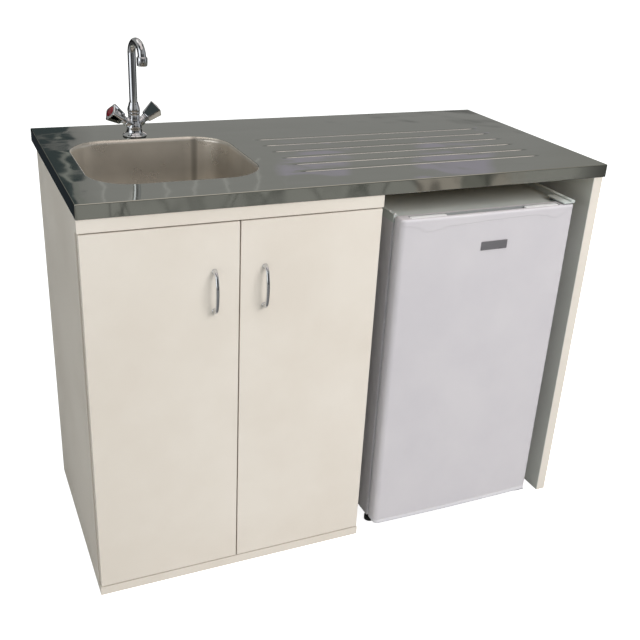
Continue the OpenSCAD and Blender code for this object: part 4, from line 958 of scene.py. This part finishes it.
def make_badge(m):
    low, high = span("badge_plate")
    shape = Shape()
    x0, x1 = low[0], high[0]
    z0, z1 = low[2], high[2]
    front, back = low[1], high[1] + 1.0
    rings = [(0.0, back), (0.0, front + 0.5), (0.3, front + 0.12), (0.8, front), (1.9, front)]
    rings += [(2.2, front + 0.25)]
    rows = []
    for inset, y in rings:
        loop = round_rect(x0 + inset, z0 + inset, x1 - inset, z1 - inset, 1.4, 0.0, 4, 4)
        rows.append([(x, y, z) for x, z, _ in loop])
    shape.rows(rows, True, True, True)
    shape.object("badge_blank", m["badge"], "fridge_door", ["badge_plate"], sharp=30)


def rounded_bar(shape, low, high, edge):
    """A closed bar with rounded long edges, between two corners in mm."""
    x0, y0, z0 = low
    x1, y1, z1 = high
    rings = [(edge, z0), (edge * 0.3, z0 + edge * 0.3), (0.0, z0 + edge)]
    rings += [(0.0, z1 - edge), (edge * 0.3, z1 - edge * 0.3), (edge, z1)]
    rows = [round_rect(x0 + d, y0 + d, x1 - d, y1 - d, edge * 1.5, z, 5, 6) for d, z in rings]
    shape.rows(rows, True, True, True)


def make_fridge_cover(m):
    """The plastic cover on the fridge's top: a plate, a low left rim, a slim right rim and a hinge hood."""
    low, high = span("fridge_top")
    hinge_low, hinge_high = span("fridge_hinges")
    front = span("fridge_shell")[0][1] - COVER_FRONT
    plate = Shape()
    base, top = low[2], high[2]
    width = high[0] - low[0]
    left = [(0.0, 0.0), (0.0, 16.6), (0.5, 17.6), (1.6, 18.0), (6.0, 18.0), (7.6, 17.4), (8.6, 15.0),
            (9.4, 13.0), (11.5, 12.0)]
    right = [(10.2, 1.4), (9.2, 0.3), (8.0, 0.0), (2.0, 0.0), (0.6, 0.5), (0.0, 2.0)]
    outline = [(x, base + up) for x, up in left]
    outline += [(width - x, base + up) for x, up in ((13.5, 12.0), (11.4, 13.2), (10.6, 16.0))]
    outline += [(width - x, top - down) for x, down in right] + [(width, base)]
    rows = []
    ends = [(front, 1.6), (front + 0.5, 0.5), (front + 1.8, 0.0), (high[1] - 1.5, 0.0), (high[1], 1.2)]
    for y, drop in ends:
        rows.append([(low[0] + x, y, max(z - drop, base)) for x, z in outline])
    plate.rows(rows, True, True, True)
    hood_low, hood_high = hinge_high[2] - 2.4, hinge_high[2] + 0.6
    rounded_bar(plate, (hinge_low[0] - 3.0, low[1], hood_low), (high[0] - 9.0, front + 26.0, hood_high), 1.0)
    rounded_bar(plate, (high[0] - 10.4, low[1], hood_low), (high[0], front + 2.0, top), 1.6)
    # the cover takes the painted-shade grey plastic
    plate.object("fridge_cover", m["cover"], "fridge", ["fridge_top"], sharp=35)


def make_plugs(m):
    """Two small blanking plugs on the left rim of the fridge's cover."""
    low = span("fridge_top")[0]
    shape = Shape()
    for y in PLUG_Y:
        lathe(shape, [(3.0, 0.0), (3.0, 0.5), (2.5, 1.1), (1.6, 1.5), (0.02, 1.6)],
              upright(low[0] + 3.9, y, low[2] + 17.95), 24, cap_first=True)
    shape.object("fridge_top_plugs", m["grip"], "fridge", sharp=50)


# ---------- surroundings ----------

FLOOR_GLOW = 0.9


def make_floor():
    """A plain white floor that keeps a soft contact shadow."""
    mesh = bpy.data.meshes.new("floor")
    size = 14.0
    corners = [(-size, -size, 0), (size, -size, 0), (size, size, 0), (-size, size, 0)]
    mesh.from_pydata(corners, [], [(0, 1, 2, 3)])
    material, tree, shader = shader_of("floor")
    slow = noise_of(tree, object_coords(tree), 1.5, 2.0)
    colour = ramp_of(tree, slow, [(0.3, grey(0.80)), (0.7, grey(0.82))])
    glow = times(tree, add_node(tree, "LightPath").outputs["Is Camera Ray"], FLOOR_GLOW)
    fill(tree, shader, Base_Color=colour, Roughness=0.9, Specular_IOR_Level=0.0,
         Emission_Color=(1.0, 1.0, 1.0, 1.0), Emission_Strength=glow)
    mesh.materials.append(material)
    floor = bpy.data.objects.new("floor", mesh)
    floor.location.z = -0.0005
    floor.visible_glossy = False
    bpy.context.collection.objects.link(floor)


AMBIENT = (0.275, 0.30, 0.285, 1.0)
# what the polished pieces mirror, by height of the direction (0 down, 1 up)
ROOM_HEIGHT = [
    (0.0, 0.24), (0.30, 0.30), (0.385, 0.34), (0.395, 0.12), (0.545, 0.11), (0.590, 0.14), (0.600, 0.31),
    (0.74, 0.31), (0.80, 0.28), (1.0, 0.28),
]
# and by its bearing (0 and 1 the front, 0.25 the left, 0.5 the back, 0.75 the right)
ROOM_BEARING = [
    (0.0, 1.0), (0.008, 1.0), (0.014, 0.0), (0.052, 0.0), (0.062, 1.0), (0.30, 1.0), (0.35, 0.2),
    (0.512, 0.12), (0.526, 1.0), (0.61, 1.0), (0.66, 0.4), (0.715, 0.15), (0.85, 0.25), (0.89, 1.0),
    (1.0, 1.0),
]
# things in the room, each lying over those before it: bearing from and to, height from and to, soft edge,
# lean of the bearing with height, colour
ROOM_THINGS = [
    (0.2800, 0.4920, 0.600, 1.100, 0.0060, 0.0, (0.30, 0.30, 0.29, 1.0)),
    (0.6150, 0.8900, 0.600, 0.860, 0.0100, 0.0, (0.29, 0.29, 0.28, 1.0)),
    (0.5000, 1.1000, 0.840, 0.960, 0.0300, 0.0, (0.80, 0.72, 0.69, 1.0)),
    (-0.100, 0.0600, 0.840, 0.960, 0.0300, 0.0, (0.80, 0.72, 0.69, 1.0)),
    (-0.100, 1.1000, 0.960, 1.100, 0.0200, 0.0, (0.90, 0.82, 0.79, 1.0)),
    (0.3000, 0.4600, 0.900, 0.975, 0.0200, 0.0, (1.20, 1.16, 1.12, 1.0)),
    (0.5000, 0.6900, 0.925, 0.985, 0.0200, 0.0, (0.45, 0.45, 0.44, 1.0)),
    (0.0700, 0.2000, 0.760, 0.930, 0.0120, 0.0, (0.05, 0.06, 0.06, 1.0)),
    (0.6900, 0.7800, 0.760, 0.900, 0.0120, 0.0, (0.06, 0.07, 0.07, 1.0)),
    (0.5200, 0.6200, 0.480, 0.560, 0.0080, 0.0, (1.00, 0.90, 0.85, 1.0)),
    (0.1450, 0.2500, 0.395, 0.720, 0.0050, 0.0, (1.30, 1.33, 1.38, 1.0)),
    (0.7600, 0.8500, 0.395, 0.720, 0.0060, 0.0, (0.42, 0.43, 0.45, 1.0)),
    (0.5615, 0.5715, 0.626, 0.634, 0.0022, 0.0, (0.38, 0.36, 0.43, 1.0)),
    (0.5865, 0.5975, 0.618, 0.628, 0.0022, 0.0, (0.38, 0.36, 0.43, 1.0)),
    (0.9075, 0.9135, 0.340, 0.390, 0.0012, 0.0, (0.43, 0.39, 0.37, 1.0)),
    (0.9004, 0.9065, 0.340, 0.390, 0.0006, 0.0, (0.21, 0.21, 0.20, 1.0)),
    (0.8960, 0.9000, 0.340, 0.390, 0.0008, 0.0, (0.38, 0.35, 0.33, 1.0)),
    (0.5000, 0.5226, 0.590, 0.6176, 0.0004, 0.0, (0.05, 0.065, 0.07, 1.0)),
    (0.5000, 0.5233, 0.6205, 0.638, 0.0005, 0.1, (0.05, 0.065, 0.07, 1.0)),
    (0.5000, 0.5225, 0.638, 0.700, 0.0005, 0.05, (0.05, 0.065, 0.07, 1.0)),
    (0.5209, 0.5216, 0.624, 0.700, 0.0003, 0.12, (0.24, 0.25, 0.24, 1.0)),
    (0.4500, 0.5000, 0.300, 0.420, 0.0040, 0.0, (0.02, 0.025, 0.03, 1.0)),
]
# slanting bars that the front apron mirrors: bearing halfway up, and lean
APRON_BARS = [(0.9722, 0.25), (0.9676, 0.25), (0.9623, 0.3), (0.9550, -0.2), (0.9516, -0.2), (0.9479, -0.2),
              (0.9440, 0.3), (0.9407, -0.2), (0.9283, -0.3), (0.9226, 0.3)]
BAR_HALF = 0.00035
BAR_SOFT = 0.00015
BAR_RISE = 0.015
BAR_COLOUR = (0.09, 0.095, 0.09, 1.0)
APRON_BEARINGS = (0.898, 0.985)
APRON_HEIGHTS = (0.335, 0.384)
# dark wavering lines in the same apron, by a slow noise
WAVER = [(0.44, 1.0), (0.475, 0.5), (0.50, 0.45), (0.525, 1.0), (0.60, 1.0), (0.62, 0.75), (0.64, 1.0)]
# upright slats in the worktop near the tap
SLAT_BEARINGS = (0.5230, 0.5600)
SLAT_HEIGHTS = (0.632, 0.66)
SLAT_PITCH = 0.0056
SLAT_START = 0.5282
# leaning streaks at the apron's right end
STREAK_BEARINGS = (0.8780, 0.8955)
STREAK_HEIGHTS = (0.355, 0.390)
STREAK_PITCH = 0.0015
STREAK_LEAN = 0.29


def inside(tree, value, low, high, soft):
    """1 between low and high, falling to 0 over soft on both sides."""
    rise = range_of(tree, value, 0.0, 1.0, low - soft, low)
    fall = range_of(tree, value, 1.0, 0.0, high, high + soft)
    return times(tree, rise, fall)


def within(tree, bearing, bearings, height, heights, soft):
    """1 in one window of the room's bearing and height."""
    return times(tree, inside(tree, bearing, *bearings, soft), inside(tree, height, *heights, soft))


def stripes(tree, place, pitch, start, middle, edge, dark, light):
    """Dark or light stripes across a value of place, repeating each pitch."""
    wave = times(tree, math_of(tree, "SUBTRACT", place, start), 2 * math.pi / pitch)
    return range_of(tree, math_of(tree, "COSINE", wave), light, dark, edge, middle)


def greys(tree, value, stops):
    """A ramp of greys."""
    return ramp_of(tree, value, [(position, grey(shade)) for position, shade in stops])


def room_colour(tree, bearing, height):
    """The studio around the object, as its polished pieces mirror it."""
    colour = tinted(tree, greys(tree, height, ROOM_HEIGHT), greys(tree, bearing, ROOM_BEARING))
    things = list(ROOM_THINGS)
    for middle, lean in APRON_BARS:
        foot = middle - lean * BAR_RISE
        things.append((foot - BAR_HALF, foot + BAR_HALF, *APRON_HEIGHTS, BAR_SOFT, lean, BAR_COLOUR))
    for b0, b1, h0, h1, soft, lean, tint in things:
        across = bearing
        if lean:
            shift = times(tree, math_of(tree, "SUBTRACT", height, h0), lean)
            across = math_of(tree, "SUBTRACT", bearing, shift)
        colour = mix_of(tree, colour, tint, within(tree, across, (b0, b1), height, (h0, h1), soft))
    place = add_node(tree, "CombineXYZ", X=bearing, Y=height).outputs[0]
    drawn = add_node(tree, "Mapping", Vector=place, Scale=(90.0, 30.0, 1.0), Rotation=(0.0, 0.0, 0.5))
    wavering = greys(tree, noise_of(tree, drawn.outputs[0], 1.0, 1.0, 0.4), WAVER)
    on_apron = within(tree, bearing, APRON_BEARINGS, height, APRON_HEIGHTS, 0.003)
    colour = tinted(tree, colour, wavering, on_apron)
    slats = stripes(tree, bearing, SLAT_PITCH, SLAT_START, 0.985, 0.93, 1.35, 1.0)
    by_window = within(tree, bearing, SLAT_BEARINGS, height, SLAT_HEIGHTS, 0.002)
    colour = tinted(tree, colour, slats, by_window)
    leaning = math_of(tree, "ADD", bearing, times(tree, height, STREAK_LEAN))
    streaks = stripes(tree, leaning, STREAK_PITCH, 0.0, 0.75, 0.35, 1.7, 0.7)
    at_end = times(tree, inside(tree, bearing, *STREAK_BEARINGS, 0.001),
                   inside(tree, height, *STREAK_HEIGHTS, 0.003))
    return tinted(tree, colour, streaks, at_end)


def background(tree, colour):
    return add_node(tree, "Background", Color=colour).outputs["Background"]


def either(tree, which, first, second):
    """The second shader where which is 1, else the first."""
    node = add_node(tree, "MixShader")
    for socket, output in zip(node.inputs, (which, first, second)):
        tree.links.new(output, socket)
    return node.outputs["Shader"]


def make_world():
    """White to the camera, a soft grey to matt pieces, and the room to polished ones."""
    world = bpy.data.worlds.new("studio")
    bpy.context.scene.world = world
    world.use_nodes = True
    tree = world.node_tree
    tree.nodes.clear()
    x, y, z = split_of(tree, add_node(tree, "TexCoord").outputs["Generated"])
    height = range_of(tree, z, 0.0, 1.0, -1.0, 1.0)
    bearing = range_of(tree, math_of(tree, "ARCTAN2", x, y), 0.0, 1.0, -math.pi, math.pi)
    room = background(tree, room_colour(tree, bearing, height))
    path = add_node(tree, "LightPath")
    soft = either(tree, path.outputs["Is Diffuse Ray"], room, background(tree, AMBIENT))
    seen = either(tree, path.outputs["Is Camera Ray"], soft, background(tree, (1.0, 1.0, 1.0, 1.0)))
    add_node(tree, "OutputWorld", Surface=seen)
    bpy.context.scene.view_settings.view_transform = "Standard"


make_camera()
make_lights()
make_floor()
make_world()
materials = make_materials()
dress_cad_nodes(materials)
make_worktop(materials)
make_bowl(materials)
make_tap(materials)
make_knob(materials, -1, "hot_valve", "hot_knob", "hot_index", "hot")
make_knob(materials, 1, "cold_valve", "cold_knob", "cold_index", "cold")
make_handle(materials, "left")
make_handle(materials, "right")
make_fridge_door(materials)
make_badge(materials)
make_fridge_cover(materials)
make_plugs(materials)
